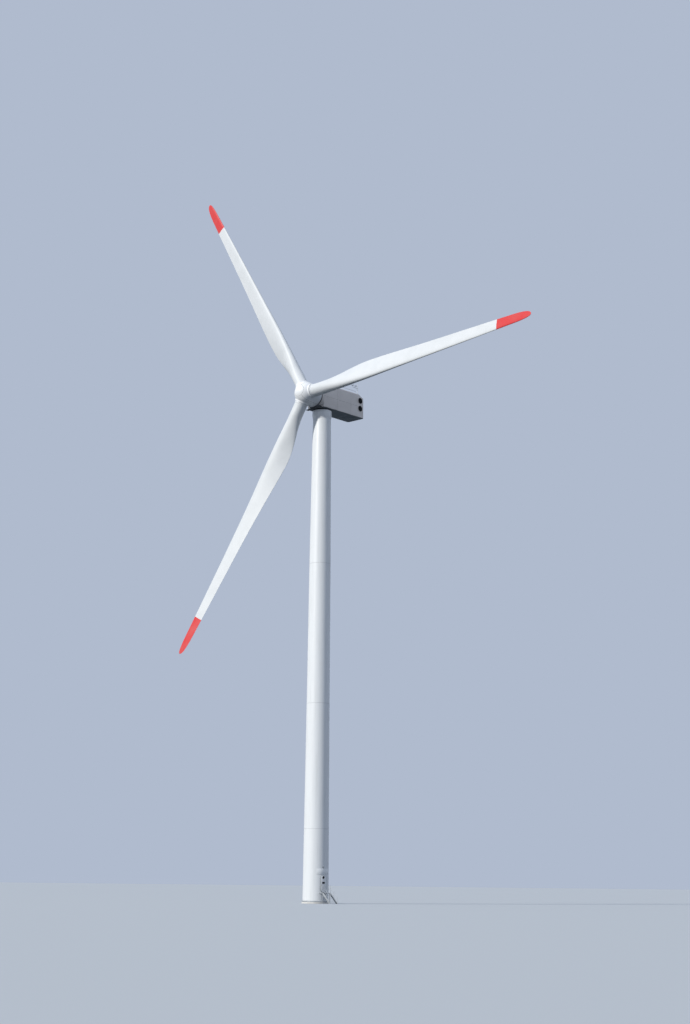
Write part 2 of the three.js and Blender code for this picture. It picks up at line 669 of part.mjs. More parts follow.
function buildWeatherMast(nacelle) {
  const { x, y, radius } = MAST;
  const foot = 0.12 * METRE;
  const base = NACELLE_ROOF;
  const armHeight = base + MAST_ARM.height;
  const postTop = armHeight + 0.2 * METRE;
  const cupsY = y - MAST_ARM.reach;
  const vaneY = y - MAST_ARM.reach / 2;
  const mast = joined(
    block([x - foot, y - foot, base], [x + foot, y + foot, base + 2]),
    bar([x, y, base + 1], [x, y, base + MAST.height], radius),
    bar([x, y, armHeight], [x, cupsY, armHeight], radius * 0.8),
    bar([x, cupsY, armHeight - 1], [x, cupsY, postTop], radius * 0.7),
    bar([x, vaneY, armHeight - 1], [x, vaneY, postTop], radius * 0.7),
  );
  addPiece(nacelle, "weather_mast", mast, "steel");
  const sensorBase = postTop + FIT;
  const cups = [
    turned(
      [
        [0, sensorBase],
        [0.05 * METRE, sensorBase],
        [0.05 * METRE, sensorBase + 0.14 * METRE],
        [0, sensorBase + 0.14 * METRE],
      ],
      12,
    ).translate(x, cupsY, 0),
  ];
  for (let i = 0; i < 3; i += 1) {
    const angle = (2 * Math.PI * i) / 3;
    const reach = 0.15 * METRE;
    const z = sensorBase + 0.11 * METRE;
    const cupX = x + reach * Math.cos(angle);
    const cupY = cupsY + reach * Math.sin(angle);
    cups.push(bar([x, cupsY, z], [cupX, cupY, z], 0.012 * METRE, 6));
    cups.push(new THREE.SphereGeometry(0.055 * METRE, 8, 5).translate(cupX, cupY, z));
  }
  addPiece(nacelle, "anemometer_cups", joined(...cups), "dark");
  const vane = joined(
    turned(
      [
        [0, sensorBase],
        [0.045 * METRE, sensorBase],
        [0.045 * METRE, sensorBase + 0.16 * METRE],
        [0, sensorBase + 0.16 * METRE],
      ],
      12,
    ).translate(x, vaneY, 0),
    bar(
      [x, vaneY - 0.22 * METRE, sensorBase + 0.12 * METRE],
      [x, vaneY + 0.3 * METRE, sensorBase + 0.12 * METRE],
      0.015 * METRE,
      6,
    ),
    block(
      [x - 0.5, vaneY + 0.12 * METRE, sensorBase + 0.03 * METRE],
      [x + 0.5, vaneY + 0.32 * METRE, sensorBase + 0.23 * METRE],
    ),
  );
  addPiece(nacelle, "wind_vane", vane, "dark");
}

function buildNacelle() {
  const nacelle = new THREE.Group();
  nacelle.rotation.z = HEADING;
  turbine.add(nacelle);
  buildYawBearing(nacelle);
  buildHousing(nacelle);
  buildCowl(nacelle);
  buildVents(nacelle);
  buildRoof(nacelle);
  buildApron(nacelle);
  buildWeatherMast(nacelle);
}

// Outline of a blade section at one radius: round at the root and a wing section further out.
// In the blade's frame the span is +Z, the leading edge is on +X and upwind is -Y.
function bladeOutline([radius, chord, thickness, nose, twist]) {
  const span = Math.max(0, (radius - PREBEND_START) / (TIP_RADIUS - PREBEND_START));
  const upwind = -TIP_PREBEND * span ** PREBEND_POWER;
  const roundness = THREE.MathUtils.clamp((thickness - 0.4) / 0.6, 0, 1) ** 0.7;
  const camber = 0.03 * (1 - roundness);
  const c = Math.cos(twist * DEG);
  const s = Math.sin(twist * DEG);
  const outline = [];
  for (let i = 0; i < SECTION_POINTS; i += 1) {
    const angle = (2 * Math.PI * i) / SECTION_POINTS;
    const along = (1 - Math.cos(angle)) / 2;
    const rear = 0.126 * along + 0.3516 * along ** 2 - 0.2843 * along ** 3 + 0.1 * along ** 4;
    const wing = 5 * (0.2969 * Math.sqrt(along) - rear);
    const round = Math.sqrt(Math.max(0, along * (1 - along)));
    const half = thickness * THREE.MathUtils.lerp(wing, round, roundness);
    const side = Math.sin(angle) >= 0 ? 1 : -1;
    const across = camber * 4 * along * (1 - along) + side * Math.max(half, 0.002);
    const ahead = (nose - along) * chord;
    const behind = across * chord;
    outline.push(new THREE.Vector3(ahead * c + behind * s, behind * c - ahead * s + upwind, radius));
  }
  return outline;
}

function bladeShape() {
  const stations = BLADE_STATIONS.map(([r, chord, thickness, nose, twist]) => [
    r * METRE,
    chord * METRE,
    thickness,
    nose,
    twist,
  ]);
  const [, rootChord, , , rootTwist] = stations[0];
  const lastTwist = stations[stations.length - 1][4];
  const blade = lofted(
    [
      [BLADE_ROOT, rootChord, 1, 0.5, rootTwist],
      ...stations,
      [TIP_RADIUS, TIP_CHORD, 0.3, 0.5, lastTwist],
    ].map(bladeOutline),
  );
  return joined(blade, disc(COLLAR_RADIUS, COLLAR_START, COLLAR_END, SOCKET_SIDES));
}

// A ball at the front and a slightly narrowing skirt behind, turned about the shaft
function spinnerShape() {
  const steps = 9;
  const front = [];
  for (let i = 0; i <= steps; i += 1) {
    const angle = (Math.PI / 2) * (i / steps);
    front.push([i === 0 ? 0 : SPINNER_RADIUS * Math.sin(angle), -SPINNER_RADIUS * Math.cos(angle)]);
  }
  const skirt = SKIRT_PROFILE.map(([behind, radius]) => [radius, behind]);
  const outline = [...front, ...skirt, [0, SPINNER_REAR]];
  let spinner = toSolid(turned(outline, 32).rotateX(-Math.PI / 2));
  const far = 2.2 * METRE;
  const turns = [...Array(BLADE_COUNT).keys()].map(bladeTurn);
  const along = (radius, low, high, turn) => toSolid(disc(radius, low, high, SOCKET_SIDES).rotateY(turn));
  for (const turn of turns) {
    spinner = spinner.add(along(SLEEVE_RADIUS, SLEEVE_START, SLEEVE_END, turn));
  }
  for (const turn of turns) {
    spinner = spinner
      .subtract(along(SOCKET_RADIUS, BEARING_SEAT, far, turn))
      .subtract(along(COLLAR_SPACE, SLEEVE_END, far, turn));
  }
  return spinner;
}

function bladeTurn(i) {
  return BLADE_PHASE + (2 * Math.PI * i) / BLADE_COUNT;
}

function buildRotor() {
  const heading = new THREE.Group();
  heading.rotation.z = HEADING;
  turbine.add(heading);
  const rotor = new THREE.Group();
  rotor.position.set(0, -OVERHANG, HUB_HEIGHT);
  rotor.rotation.x = -SHAFT_TILT;
  heading.add(rotor);
  addPiece(rotor, "spinner", spinnerShape(), "paint");
  const shaft = bar(
    [0, SPINNER_REAR + FIT, 0],
    [0, COWL_END - FIT, 0],
    SHAFT_RADIUS,
    32,
  );
  addPiece(rotor, "main_shaft", shaft, "dark");
  for (let i = 0; i < BLADE_COUNT; i += 1) {
    const arm = new THREE.Group();
    arm.rotation.y = bladeTurn(i);
    rotor.add(arm);
    const low = BEARING_SEAT + FIT;
    const high = low + BEARING_HEIGHT;
    const inner = BEARING_RADIUS - 0.16 * METRE;
    const bearing = tube([[low, BEARING_RADIUS, inner], [high, BEARING_RADIUS, inner]], 36);
    addPiece(arm, `pitch_bearing_${i + 1}`, bearing, "steel");
    addPiece(arm, `blade_${i + 1}`, bladeShape(), "paint");
  }
}

buildFoundation();
buildBaseCan();
buildTowerSections();
buildEntranceFloor();
buildDoor();
buildDoorFittings();
buildPlatform();
buildStair();
buildRails();
buildNacelle();
buildRotor();

export default turbine;
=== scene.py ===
# Three-bladed wind turbine at one tenth of its real size: the finish of every piece.
import bisect
import math
from typing import NamedTuple

import bmesh
import bpy
from mathutils import Matrix, Vector


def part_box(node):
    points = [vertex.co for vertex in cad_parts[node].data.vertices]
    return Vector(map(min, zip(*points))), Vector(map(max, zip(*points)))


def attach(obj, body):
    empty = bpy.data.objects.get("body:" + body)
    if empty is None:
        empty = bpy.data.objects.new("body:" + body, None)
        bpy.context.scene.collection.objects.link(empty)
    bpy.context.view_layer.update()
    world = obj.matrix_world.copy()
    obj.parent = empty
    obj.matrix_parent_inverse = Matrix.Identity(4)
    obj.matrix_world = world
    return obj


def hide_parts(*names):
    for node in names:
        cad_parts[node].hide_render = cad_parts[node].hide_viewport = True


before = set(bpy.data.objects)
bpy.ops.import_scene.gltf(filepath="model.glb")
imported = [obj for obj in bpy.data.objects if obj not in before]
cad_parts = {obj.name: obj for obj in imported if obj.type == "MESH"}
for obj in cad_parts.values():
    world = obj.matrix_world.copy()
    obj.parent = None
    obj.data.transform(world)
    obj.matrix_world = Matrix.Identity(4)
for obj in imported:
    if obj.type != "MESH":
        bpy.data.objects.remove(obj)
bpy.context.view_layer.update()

# One metre and one millimetre of the real machine, in metres of the model
M = 0.1
MM = 0.001 * M
# Gap kept between fitted pieces
FIT = 3 * MM
# Turn of the nacelle and the rotor about the tower, from facing -Y towards the door's side
HEADING = math.radians(11.5)

# Camera: its place and aim as found from the photograph's perspective
CAMERA_BEARING = math.radians(55.03)
CAMERA_DISTANCE = 266.13 * M
CAMERA_HEIGHT = 2.68 * M
CAMERA_PAN = math.radians(0.84)
CAMERA_PITCH = math.radians(12.43)
CAMERA_ROLL = math.radians(0.6)
FOCAL_LENGTH_PIXELS = 1695.96
PICTURE_HEIGHT_PIXELS = 1024
SENSOR = 36.0

# Light
KEY_ENERGY = 2.95
KEY_SIZE = math.radians(4)
KEY_COLOUR = (1.0, 0.975, 0.92)
KEY_BEARING = math.radians(0.5)
KEY_HEIGHT = math.radians(27)

# Tower
TOWER_PROFILE = [
    (0.0, 2.0),
    (11.2, 1.926),
    (30.5, 1.8),
    (52.75, 1.69),
    (73.3, 1.515),
    (75.2, 1.47),
    (76.6, 1.45),
    (78.0, 1.44),
]
NECK_COLLAR_RADIUS = 1.57 * M
NECK_BORE = 1.26 * M
JOINT_HEIGHTS = [11.2 * M, 30.5 * M, 52.75 * M]
BASE_WALL = 40 * MM
UPPER_WALL = 30 * MM
FLANGE_HEIGHT = 240 * MM
FLANGE_WIDTH = 120 * MM
BASE_FLANGE_BORE = 1.84 * M
ANCHOR_CIRCLE = 2.05 * M
ANCHOR_COUNT = 96
CAN_HEIGHT = 2.85 * M
WELD_WIDTH = 14 * MM
WELD_PROUD = 4 * MM
JOINT_GROOVE = 20 * MM
TOWER_SIDES = 144

# Tower door and the fittings above it
SILL = 1.7 * M
DOOR_HEIGHT = 2.5 * M
DOOR_HALF_WIDTH = 0.475 * M
FRAME_WIDTH = 60 * MM
FRAME_BACK = 1.84 * M
FRAME_FRONT = 2.03 * M
LEAF_OVERLAP = 20 * MM
LEAF_THICKNESS = 30 * MM
HINGE_X = FRAME_FRONT + FIT + LEAF_THICKNESS / 2
HINGE_Y = 0.525 * M
HINGE_HEIGHTS = [2.35 * M, 3.45 * M]
KNUCKLE_HEIGHT = 100 * MM
KNUCKLE_RADIUS = 18 * MM
HANDLE_PLATE_HEIGHTS = (2.66 * M, 2.86 * M)
LEVER_HEIGHT = 2.755 * M
LOCK_HEIGHT = 2.69 * M
SIGN_HALF_ANGLE = math.radians(31)
SIGN_LOW = 4.32 * M
SIGN_HIGH = 5.18 * M
LAMP_HEIGHT = 5.4 * M

# Platform and stair
PLATFORM_TOP = 1.6 * M
PLATFORM_HALF_WIDTH = 0.69 * M
PLATFORM_END = 2.96 * M
STAIR_FOOT = 4.8 * M
STEP_COUNT = 7
RAIL_HEIGHT = 1.05 * M
RAIL_RADIUS = 20 * MM
GRATING_PITCH = 33 * MM
GRATING_BAR = 5 * MM
# Height of a grating's cross bars by that of its bearing bars
CROSS_BAR_SHARE = 0.45
# Straight steps in a bent bar's corner
BEND_STEPS = 6

# Nacelle
NACELLE_HALF_WIDTH = 1.8 * M
NACELLE_FLOOR = 78.26 * M
NACELLE_SPLIT = 80.1 * M
NACELLE_ROOF = 82.2 * M
NACELLE_FRONT = -1.45 * M
NACELLE_TAIL = 8.25 * M
TAIL_CHAMFER_BACK = 1.2 * M
TAIL_CHAMFER_DOWN = 0.8 * M
TAIL_CORNER_RADIUS = 0.42 * M
UPPER_EDGE_RADIUS = 0.24 * M
LOWER_EDGE_RADIUS = 0.12 * M
FRONT_EDGE_RADIUS = 0.04 * M
VENT_RADIUS = 0.56 * M
VENT_Y = NACELLE_TAIL - 1.05 * M
VENT_HEIGHTS = {"lower": 1.5 * M, "upper": 2.82 * M}
VENT_DEPTH = 60 * MM
# Height of the outermost slats by the radius of their opening
SLAT_SPREAD = 0.93
PANEL_JOINTS = [1.75 * M, 4.95 * M]
PANEL_GAP = 22 * MM
YAW_RINGS = {"yaw_ring": (1.08 * M, 1.36 * M, "tower"), "yaw_turntable": (1.0 * M, 1.44 * M, "nacelle")}

# Rotor
SHAFT_TILT = math.radians(5)
HUB_HEIGHT = 80.28 * M
OVERHANG = 3.87 * M
SPINNER_RADIUS = 1.85 * M
SPINNER_REAR = 1.98 * M
# Skirt behind the spinner's round front in real metres: distance behind the hub's middle and radius
SKIRT_STATIONS = [(0, 1.85), (0.6, 1.85), (1.1, 1.83), (1.55, 1.79), (1.98, 1.72)]
SLEEVE_RADIUS = 1.17 * M
SLEEVE_END = 1.7 * M
# Flare of the sleeve's foot: distance outside the sleeve in real millimetres and height in real metres
SLEEVE_FLARE = [(0, 1.53), (12, 1.47), (40, 1.41), (90, 1.35), (140, 1.28)]
COLLAR_RADIUS = 1.1 * M
COLLAR_START = 1.78 * M
COLLAR_END = 1.95 * M
COLLAR_SPACE = 1.19 * M
COWL_END = 2.14 * M
COWL_RADIUS = 1.74 * M
COWL_BACK_WIDTH = 1.79 * M
COWL_BACK_HEIGHT = 1.93 * M
COWL_BACK_POWER = 4.0
# Strips round the cowl's lowest side that take the darker underside gelcoat as painted shade
COWL_SHADE_STRIPS = 28
BLADE_COUNT = 3
BLADE_PHASE = math.radians(-32.6)
SOCKET_RADIUS = 1.09 * M
BEARING_SEAT = 1.35 * M
BLADE_ROOT = 1.473 * M
TIP_RADIUS = 46.79 * M
TIP_PREBEND = 2.59 * M
PREBEND_START = 3 * M
PREBEND_POWER = 1.2
RED_TIP_START = 40.3 * M
# Blade stations in real metres: radius, chord, thickness by chord, nose by chord, twist in degrees
BLADE_STATIONS = [
    (3.4, 2.05, 1.0, 0.5, 18),
    (5.5, 2.35, 0.78, 0.44, 18),
    (7.5, 2.9, 0.54, 0.38, 18),
    (9.5, 3.35, 0.41, 0.34, 18),
    (11.7, 3.55, 0.34, 0.32, 16.5),
    (14.0, 3.45, 0.3, 0.32, 13.5),
    (18.7, 3.0, 0.26, 0.32, 9),
    (23.4, 2.6, 0.23, 0.33, 6.5),
    (28.1, 2.3, 0.21, 0.34, 5),
    (32.8, 2.05, 0.2, 0.35, 4),
    (37.4, 1.8, 0.18, 0.36, 3),
    (42.1, 1.55, 0.18, 0.38, 2.3),
    (44.6, 1.38, 0.17, 0.4, 2),
    (46.0, 1.02, 0.17, 0.42, 2),
    (46.6, 0.6, 0.17, 0.45, 2),
]
TIP_CHORD = 0.16
SECTION_POINTS = 56
BLADE_RINGS = 110


def moved(x, y, z):
    return Matrix.Translation((x, y, z))


def rotated(degrees, axis):
    return Matrix.Rotation(math.radians(degrees), 4, axis)


ROTOR_PLACE = moved(0, -OVERHANG, HUB_HEIGHT) @ Matrix.Rotation(-SHAFT_TILT, 4, "X")
# Turns an upright turned shape so that its axis runs along the shaft, nose forward
ALONG_SHAFT = rotated(90, "X")
# Turns a flat shape so that its width is along Y, its height along Z and its front faces +X
FACING_DOOR = Matrix(((0, 0, 1, 0), (1, 0, 0, 0), (0, 1, 0, 0), (0, 0, 0, 1)))
UNMOVED = Matrix.Identity(4)


def make_camera():
    data = bpy.data.cameras.new("camera")
    data.sensor_width = SENSOR
    data.lens = FOCAL_LENGTH_PIXELS / PICTURE_HEIGHT_PIXELS * SENSOR
    data.clip_end = 8000
    camera = bpy.data.objects.new("camera", data)
    bpy.context.scene.collection.objects.link(camera)
    ahead = Vector(
        (
            math.sin(CAMERA_PAN) * math.cos(CAMERA_PITCH),
            math.cos(CAMERA_PAN) * math.cos(CAMERA_PITCH),
            math.sin(CAMERA_PITCH),
        )
    )
    level = Vector((math.cos(CAMERA_PAN), -math.sin(CAMERA_PAN), 0))
    above = level.cross(ahead)
    right = math.cos(CAMERA_ROLL) * level + math.sin(CAMERA_ROLL) * above
    up = math.cos(CAMERA_ROLL) * above - math.sin(CAMERA_ROLL) * level
    aim = Matrix((right, up, -ahead)).transposed().to_4x4()
    stand = moved(0, -CAMERA_DISTANCE, CAMERA_HEIGHT)
    camera.matrix_world = Matrix.Rotation(CAMERA_BEARING, 4, "Z") @ stand @ aim
    bpy.context.scene.camera = camera


make_camera()


# Materials


def linear(colour):
    """An sRGB hex colour as linear red, green, blue and alpha."""
    values = [int(colour[i : i + 2], 16) / 255 for i in (1, 3, 5)]
    return [v / 12.92 if v <= 0.04045 else ((v + 0.055) / 1.055) ** 2.4 for v in values] + [1.0]


def add_node(tree, kind, inputs=None, out=0, **settings):
    """Adds a node with its settings, links or sets its inputs, and gives the output that is asked for."""
    node = tree.nodes.new(kind)
    for name, value in settings.items():
        setattr(node, name, value)
    for name, value in (inputs or {}).items():
        if isinstance(value, bpy.types.NodeSocket):
            tree.links.new(value, node.inputs[name])
        else:
            node.inputs[name].default_value = linear(value) if isinstance(value, str) else value
    return node.outputs[out] if node.outputs else node


class Pattern(NamedTuple):
    """A texture in the object's coordinates, with features about size metres across in the model."""

    size: float
    detail: float = 4.0
    rough: float = 0.55
    stretch: tuple = ()
    kind: str = "Noise"
    output: str = "Fac"


def layered(name, gloss, base, layers=(), relief=(), shine=(), metallic=0.0, ior=1.5):
    """A base colour under layers, each a colour, its greatest share and the ranges of patterns that thin it.

    Relief is a pattern, its height and its strength; shine is a pattern, its range and the roughness there.
    """
    material = bpy.data.materials.new(name)
    material.use_nodes = True
    tree = material.node_tree
    shader = tree.nodes["Principled BSDF"]
    shader.inputs["Metallic"].default_value = metallic
    shader.inputs["Roughness"].default_value = gloss
    shader.inputs["Base Color"].default_value = linear(base)
    if metallic < 0.5:
        shader.inputs["IOR"].default_value = ior
    place = add_node(tree, "ShaderNodeTexCoord", out="Object")
    made = {}

    def texture(pattern):
        if pattern.kind == "Attribute":
            return add_node(tree, "ShaderNodeAttribute", out="Fac", attribute_name="leading_edge")
        spread = pattern[:5]
        if spread not in made:
            inputs = {"Vector": place, "Scale": 1 / pattern.size}
            if pattern.stretch:
                mapping = {"Vector": place, "Scale": pattern.stretch}
                inputs["Vector"] = add_node(tree, "ShaderNodeMapping", mapping)
            if pattern.kind == "Noise":
                inputs |= {"Detail": pattern.detail, "Roughness": pattern.rough}
            settings = {"bands_direction": "Z"} if pattern.kind == "Wave" else {}
            made[spread] = add_node(tree, "ShaderNodeTex" + pattern.kind, inputs, **settings).node
        return made[spread].outputs[pattern.output]

    colour = base
    for tint, share, *ranges in layers:
        for pattern, low, high in ranges:
            inputs = {"Value": texture(pattern), "From Min": low, "From Max": high}
            level = add_node(tree, "ShaderNodeMapRange", inputs)
            share = add_node(tree, "ShaderNodeMath", {0: level, 1: share}, operation="MULTIPLY")
        colour = add_node(tree, "ShaderNodeMix", {0: share, 6: colour, 7: tint}, 2, data_type="RGBA")
    if layers:
        tree.links.new(colour, shader.inputs["Base Color"])
    if shine:
        pattern, low, high, first, last = shine
        inputs = {"Value": texture(pattern), "From Min": low, "From Max": high}
        rough = add_node(tree, "ShaderNodeMapRange", inputs | {"To Min": first, "To Max": last})
        tree.links.new(rough, shader.inputs["Roughness"])
    if relief:
        pattern, height, strength = relief
        inputs = {"Height": texture(pattern), "Distance": height, "Strength": strength}
        tree.links.new(add_node(tree, "ShaderNodeBump", inputs, "Normal"), shader.inputs["Normal"])
    return material


def sprayed_tower_paint(name, clean, streak):
    """Two-pack polyurethane sprayed on rolled steel plate: satin, with rain streaks down the tube."""
    rain = Pattern(420 * MM, 6.0, stretch=(1, 1, 0.06))
    patches = Pattern(2600 * MM, 3.0)
    # Rolled plate keeps a slight waviness of about a metre
    waves = Pattern(900 * MM, 2.0)
    streaks = (streak, 0.5, (rain, 0.5, 0.78), (patches, 0, 1))
    return layered(name, 0.36, clean, [streaks], (waves, 5 * MM, 0.5), (patches, 0.3, 0.7, 0.3, 0.44))


def sprayed_gelcoat(name, clean, dulled, gloss, dull_share=0.5):
    """Gelcoat over glass fibre, cast against a polished mould: glossy and slightly chalked by weather."""
    chalk = Pattern(1500 * MM, 5.0)
    shine = (chalk, 0.3, 0.75, gloss, gloss + 0.16)
    relief = (Pattern(700 * MM, 2.0), 3 * MM, 0.4)
    return layered(name, gloss, clean, [(dulled, dull_share, (chalk, 0.4, 0.75))], relief, shine)


def rubber_seal(name, deep, dusty):
    """Extruded EPDM seal or joint sealant: matt, with dust in patches."""
    dust = Pattern(80 * MM, 5.0)
    return layered(name, 0.75, deep, [(dusty, 1, (dust, 0, 1))], (dust, 0.8 * MM, 0.3), ior=1.52)


TOWER_PAINT = sprayed_tower_paint("tower_white_polyurethane", "#E9ECEE", "#BFC2BE")
# Paler than the tower's paint: on the neck collar it is painted light, standing in for light thrown up into
# the shade under the nacelle; the door leaf's raised panel wears it too
NECK_LIGHT_AND_PANEL_PAINT = sprayed_tower_paint("pale_polyurethane_and_painted_neck_light", "#F3F4F5", "#D2D5D7")
# Darker grey on the door frame: painted shade for the shaded jamb of the doorway's recess
FRAME_SHADE_GREY_PAINT = sprayed_tower_paint("door_frame_painted_shade_grey", "#878D91", "#73787B")
HOUSING = sprayed_gelcoat("housing_pale_gelcoat", "#E6DFDA", "#D5CFC9", 0.42)
# Grey gelcoat on faces that look down: painted shade under the nacelle, the cowl and the floor hatch
UNDERSIDE_SHADE_GELCOAT = sprayed_gelcoat("underside_painted_shade_gelcoat", "#8A9096", "#6F757B", 0.5)
SPINNER_SKIN = sprayed_gelcoat("spinner_white_gelcoat", "#F2F4F6", "#E6E9EC", 0.42)
RED_SKIN = sprayed_gelcoat("tip_red_gelcoat", "#DD3B3A", "#D0504B", 0.32, 0.7)
SEAL = rubber_seal("rubber_joint_seal", "#4A4E52", "#6A6E71")
JOINT_SEALANT = rubber_seal("pale_joint_sealant", "#BCC0C2", "#C8CBCC")

# The blade's white gelcoat, with rain and insect wear that greys the leading edge
WORN_EDGE = Pattern(1, kind="Attribute")
BLADE_SKIN = layered(
    "blade_white_gelcoat",
    0.42,
    "#DFE2E4",
    [
        ("#D3D7D9", 0.5, (Pattern(2200 * MM, 3.0), 0.4, 0.7)),
        ("#B9B8AE", 0.55, (WORN_EDGE, 0, 1), (Pattern(160 * MM, 8.0, 0.7), 0.35, 0.7)),
    ],
    relief=(Pattern(900 * MM, 2.0), 3 * MM, 0.4),
    shine=(WORN_EDGE, 0, 1, 0.42, 0.58),
)

# Zinc hot-dipped on steel: dull grey with spangle, drawn about 15 mm across so that it shows
SPANGLE = Pattern(15 * MM, kind="Voronoi", output="Color")
ZINC_CLOUD = Pattern(120 * MM)
ZINC = layered(
    "hot_dip_galvanised_steel",
    0.5,
    "#B2B7BA",
    [("#C8CCCF", 1, (SPANGLE, 0, 1)), ("#A2A7AA", 1, (ZINC_CLOUD, 0.45, 0.7))],
    relief=(SPANGLE._replace(output="Distance"), 0.4 * MM, 0.3),
    shine=(ZINC_CLOUD, 0.3, 0.7, 0.4, 0.62),
    metallic=0.4,
)

# Bearing steel turned on a lathe and greased: dark, with fine rings
GRIME = Pattern(90 * MM, 6.0)
BEARING_STEEL = layered(
    "turned_bearing_steel",
    0.34,
    "#6C7073",
    [("#3B3D3E", 1, (GRIME, 0.4, 0.7))],
    relief=(Pattern(60 * MM, kind="Wave"), 0.4 * MM, 0.3),
    shine=(GRIME, 0.3, 0.7, 0.28, 0.55),
    metallic=1.0,
)

# UV-stable polypropylene, injection moulded: near black, with a fine spark-eroded grain
DUST = Pattern(60 * MM, 6.0)
BLACK_PLASTIC = layered(
    "moulded_black_plastic",
    0.55,
    "#15191D",
    [("#2C3136", 1, (DUST, 0.45, 0.8))],
    relief=(Pattern(6 * MM, 2.0), 0.6 * MM, 0.4),
    shine=(DUST, 0.3, 0.7, 0.45, 0.66),
    ior=1.49,
)

# Concrete cast in steel forms and limewashed: matt off-white, blotched by damp, with small air holes
DAMP = Pattern(700 * MM, 7.0)
GRIT = Pattern(18 * MM, 5.0)
CONCRETE = layered(
    "limewashed_concrete",
    0.85,
    "#E9E8E4",
    [("#D2CFC8", 1, (DAMP, 0.35, 0.7)), ("#B0ADA6", 1, (GRIT, 0.62, 0.75))],
    relief=(GRIT, 3 * MM, 0.6),
    shine=(DAMP, 0.3, 0.7, 0.9, 0.72),
    ior=1.45,
)

# Aluminium sheet under a matt white film: nearly white, with a faint rolled grain
GRAIN = Pattern(12 * MM, 3.0, stretch=(1, 0.05, 1))
SIGN_SHEET = layered(
    "white_film_on_aluminium",
    0.38,
    "#F6F8F9",
    [("#EDF0F1", 1, (GRAIN, 0, 1))],
    relief=(GRAIN, 0.2 * MM, 0.2),
    shine=(GRAIN, 0.3, 0.7, 0.32, 0.46),
    metallic=0.05,
)

# Pressed glass of a bulkhead lamp, ribbed inside and unlit
RIBS = Pattern(30 * MM, kind="Wave")
LAMP_GLASS = layered(
    "pressed_lamp_glass", 0.18, "#6F7C86", [("#9DA8AF", 1, (RIBS, 0, 1))], (RIBS, 1.5 * MM, 0.6), ior=1.52
)

# Gritted walkway coating on the roof: grey and rough, grit drawn 8 mm across so that it shows
COATING_GRIT = Pattern(8 * MM, 3.0, 0.7)
WALKWAY = layered(
    "gritted_walkway_coating",
    0.9,
    "#7E8387",
    [("#9EA3A6", 1, (COATING_GRIT, 0.4, 0.65))],
    relief=(COATING_GRIT, 2 * MM, 0.7),
)


# Mesh making


def new_mesh(points, faces, material, place=UNMOVED):
    mesh = bpy.data.meshes.new("mesh")
    mesh.from_pydata([tuple(p) for p in points], [], faces)
    mesh.materials.append(material)
    mesh.transform(place)
    mesh.validate()
    return mesh


def face_outwards(mesh):
    work = bmesh.new()
    work.from_mesh(mesh)
    bmesh.ops.remove_doubles(work, verts=work.verts, dist=1e-6)
    bmesh.ops.recalc_face_normals(work, faces=work.faces)
    work.to_mesh(mesh)
    work.free()
    return mesh


def ring_faces(rings, count, closed_rings=False):
    """Quads between rings of count points each."""
    faces = []
    last = rings if closed_rings else rings - 1
    for ring in range(last):
        low = ring * count
        high = ((ring + 1) % rings) * count
        for i in range(count):
            j = (i + 1) % count
            faces.append((low + i, low + j, high + j, high + i))
    return faces


def turned(outline, material, place=UNMOVED, sides=TOWER_SIDES, tube=False):
    """A shape turned about Z from pairs of radius and height; tube joins the outline's two ends."""
    points = []
    for radius, height in outline:
        for i in range(sides):
            angle = 2 * math.pi * i / sides
            points.append((radius * math.cos(angle), radius * math.sin(angle), height))
    faces = ring_faces(len(outline), sides, closed_rings=tube)
    mesh = new_mesh(points, faces, material)
    face_outwards(mesh)
    mesh.transform(place)
    return mesh


def lofted(rings, material, place=UNMOVED):
    """A closed shape through rings with the same number of points."""
    count = len(rings[0])
    points = [p for ring in rings for p in ring]
    faces = ring_faces(len(rings), count)
    faces.append(tuple(reversed(range(count))))
    faces.append(tuple(range(len(points) - count, len(points))))
    return new_mesh(points, faces, material, place)


def bevel_edges(mesh, width, segments=2, angle=math.radians(30)):
    work = bmesh.new()
    work.from_mesh(mesh)
    sharp = [e for e in work.edges if len(e.link_faces) == 2 and e.calc_face_angle() > angle]
    bmesh.ops.bevel(work, geom=sharp, offset=width, segments=segments, affect="EDGES", profile=0.5)
    work.to_mesh(mesh)
    work.free()
    return mesh


def block(low, high, material, bevel=4 * MM, place=UNMOVED):
    """A box between two corners with its edges eased."""
    corners = [(x, y, z) for x in (low[0], high[0]) for y in (low[1], high[1]) for z in (low[2], high[2])]
    faces = [(0, 1, 3, 2), (4, 6, 7, 5), (0, 4, 5, 1), (2, 3, 7, 6), (0, 2, 6, 4), (1, 5, 7, 3)]
    mesh = new_mesh(corners, faces, material)
    if bevel:
        bevel_edges(mesh, bevel)
    mesh.transform(place)
    return mesh


def slab(outline, depth, material, place=UNMOVED, bevel=0.0):
    """A flat outline in X and Y raised along Z by depth."""
    mesh = face_outwards(lofted([[(x, y, z) for x, y in outline] for z in (0, depth)], material))
    if bevel:
        bevel_edges(mesh, bevel)
    mesh.transform(place)
    return mesh


def carried(data):
    """An object in the scene that holds the data for a while."""
    carrier = bpy.data.objects.new("carrier", data)
    bpy.context.scene.collection.objects.link(carrier)
    return carrier


def settled(carrier):
    """The plain mesh of a carrier after its modifiers, in place of the carrier."""
    seen = bpy.context.evaluated_depsgraph_get()
    mesh = bpy.data.meshes.new_from_object(carrier.evaluated_get(seen))
    bpy.data.objects.remove(carrier)
    return mesh


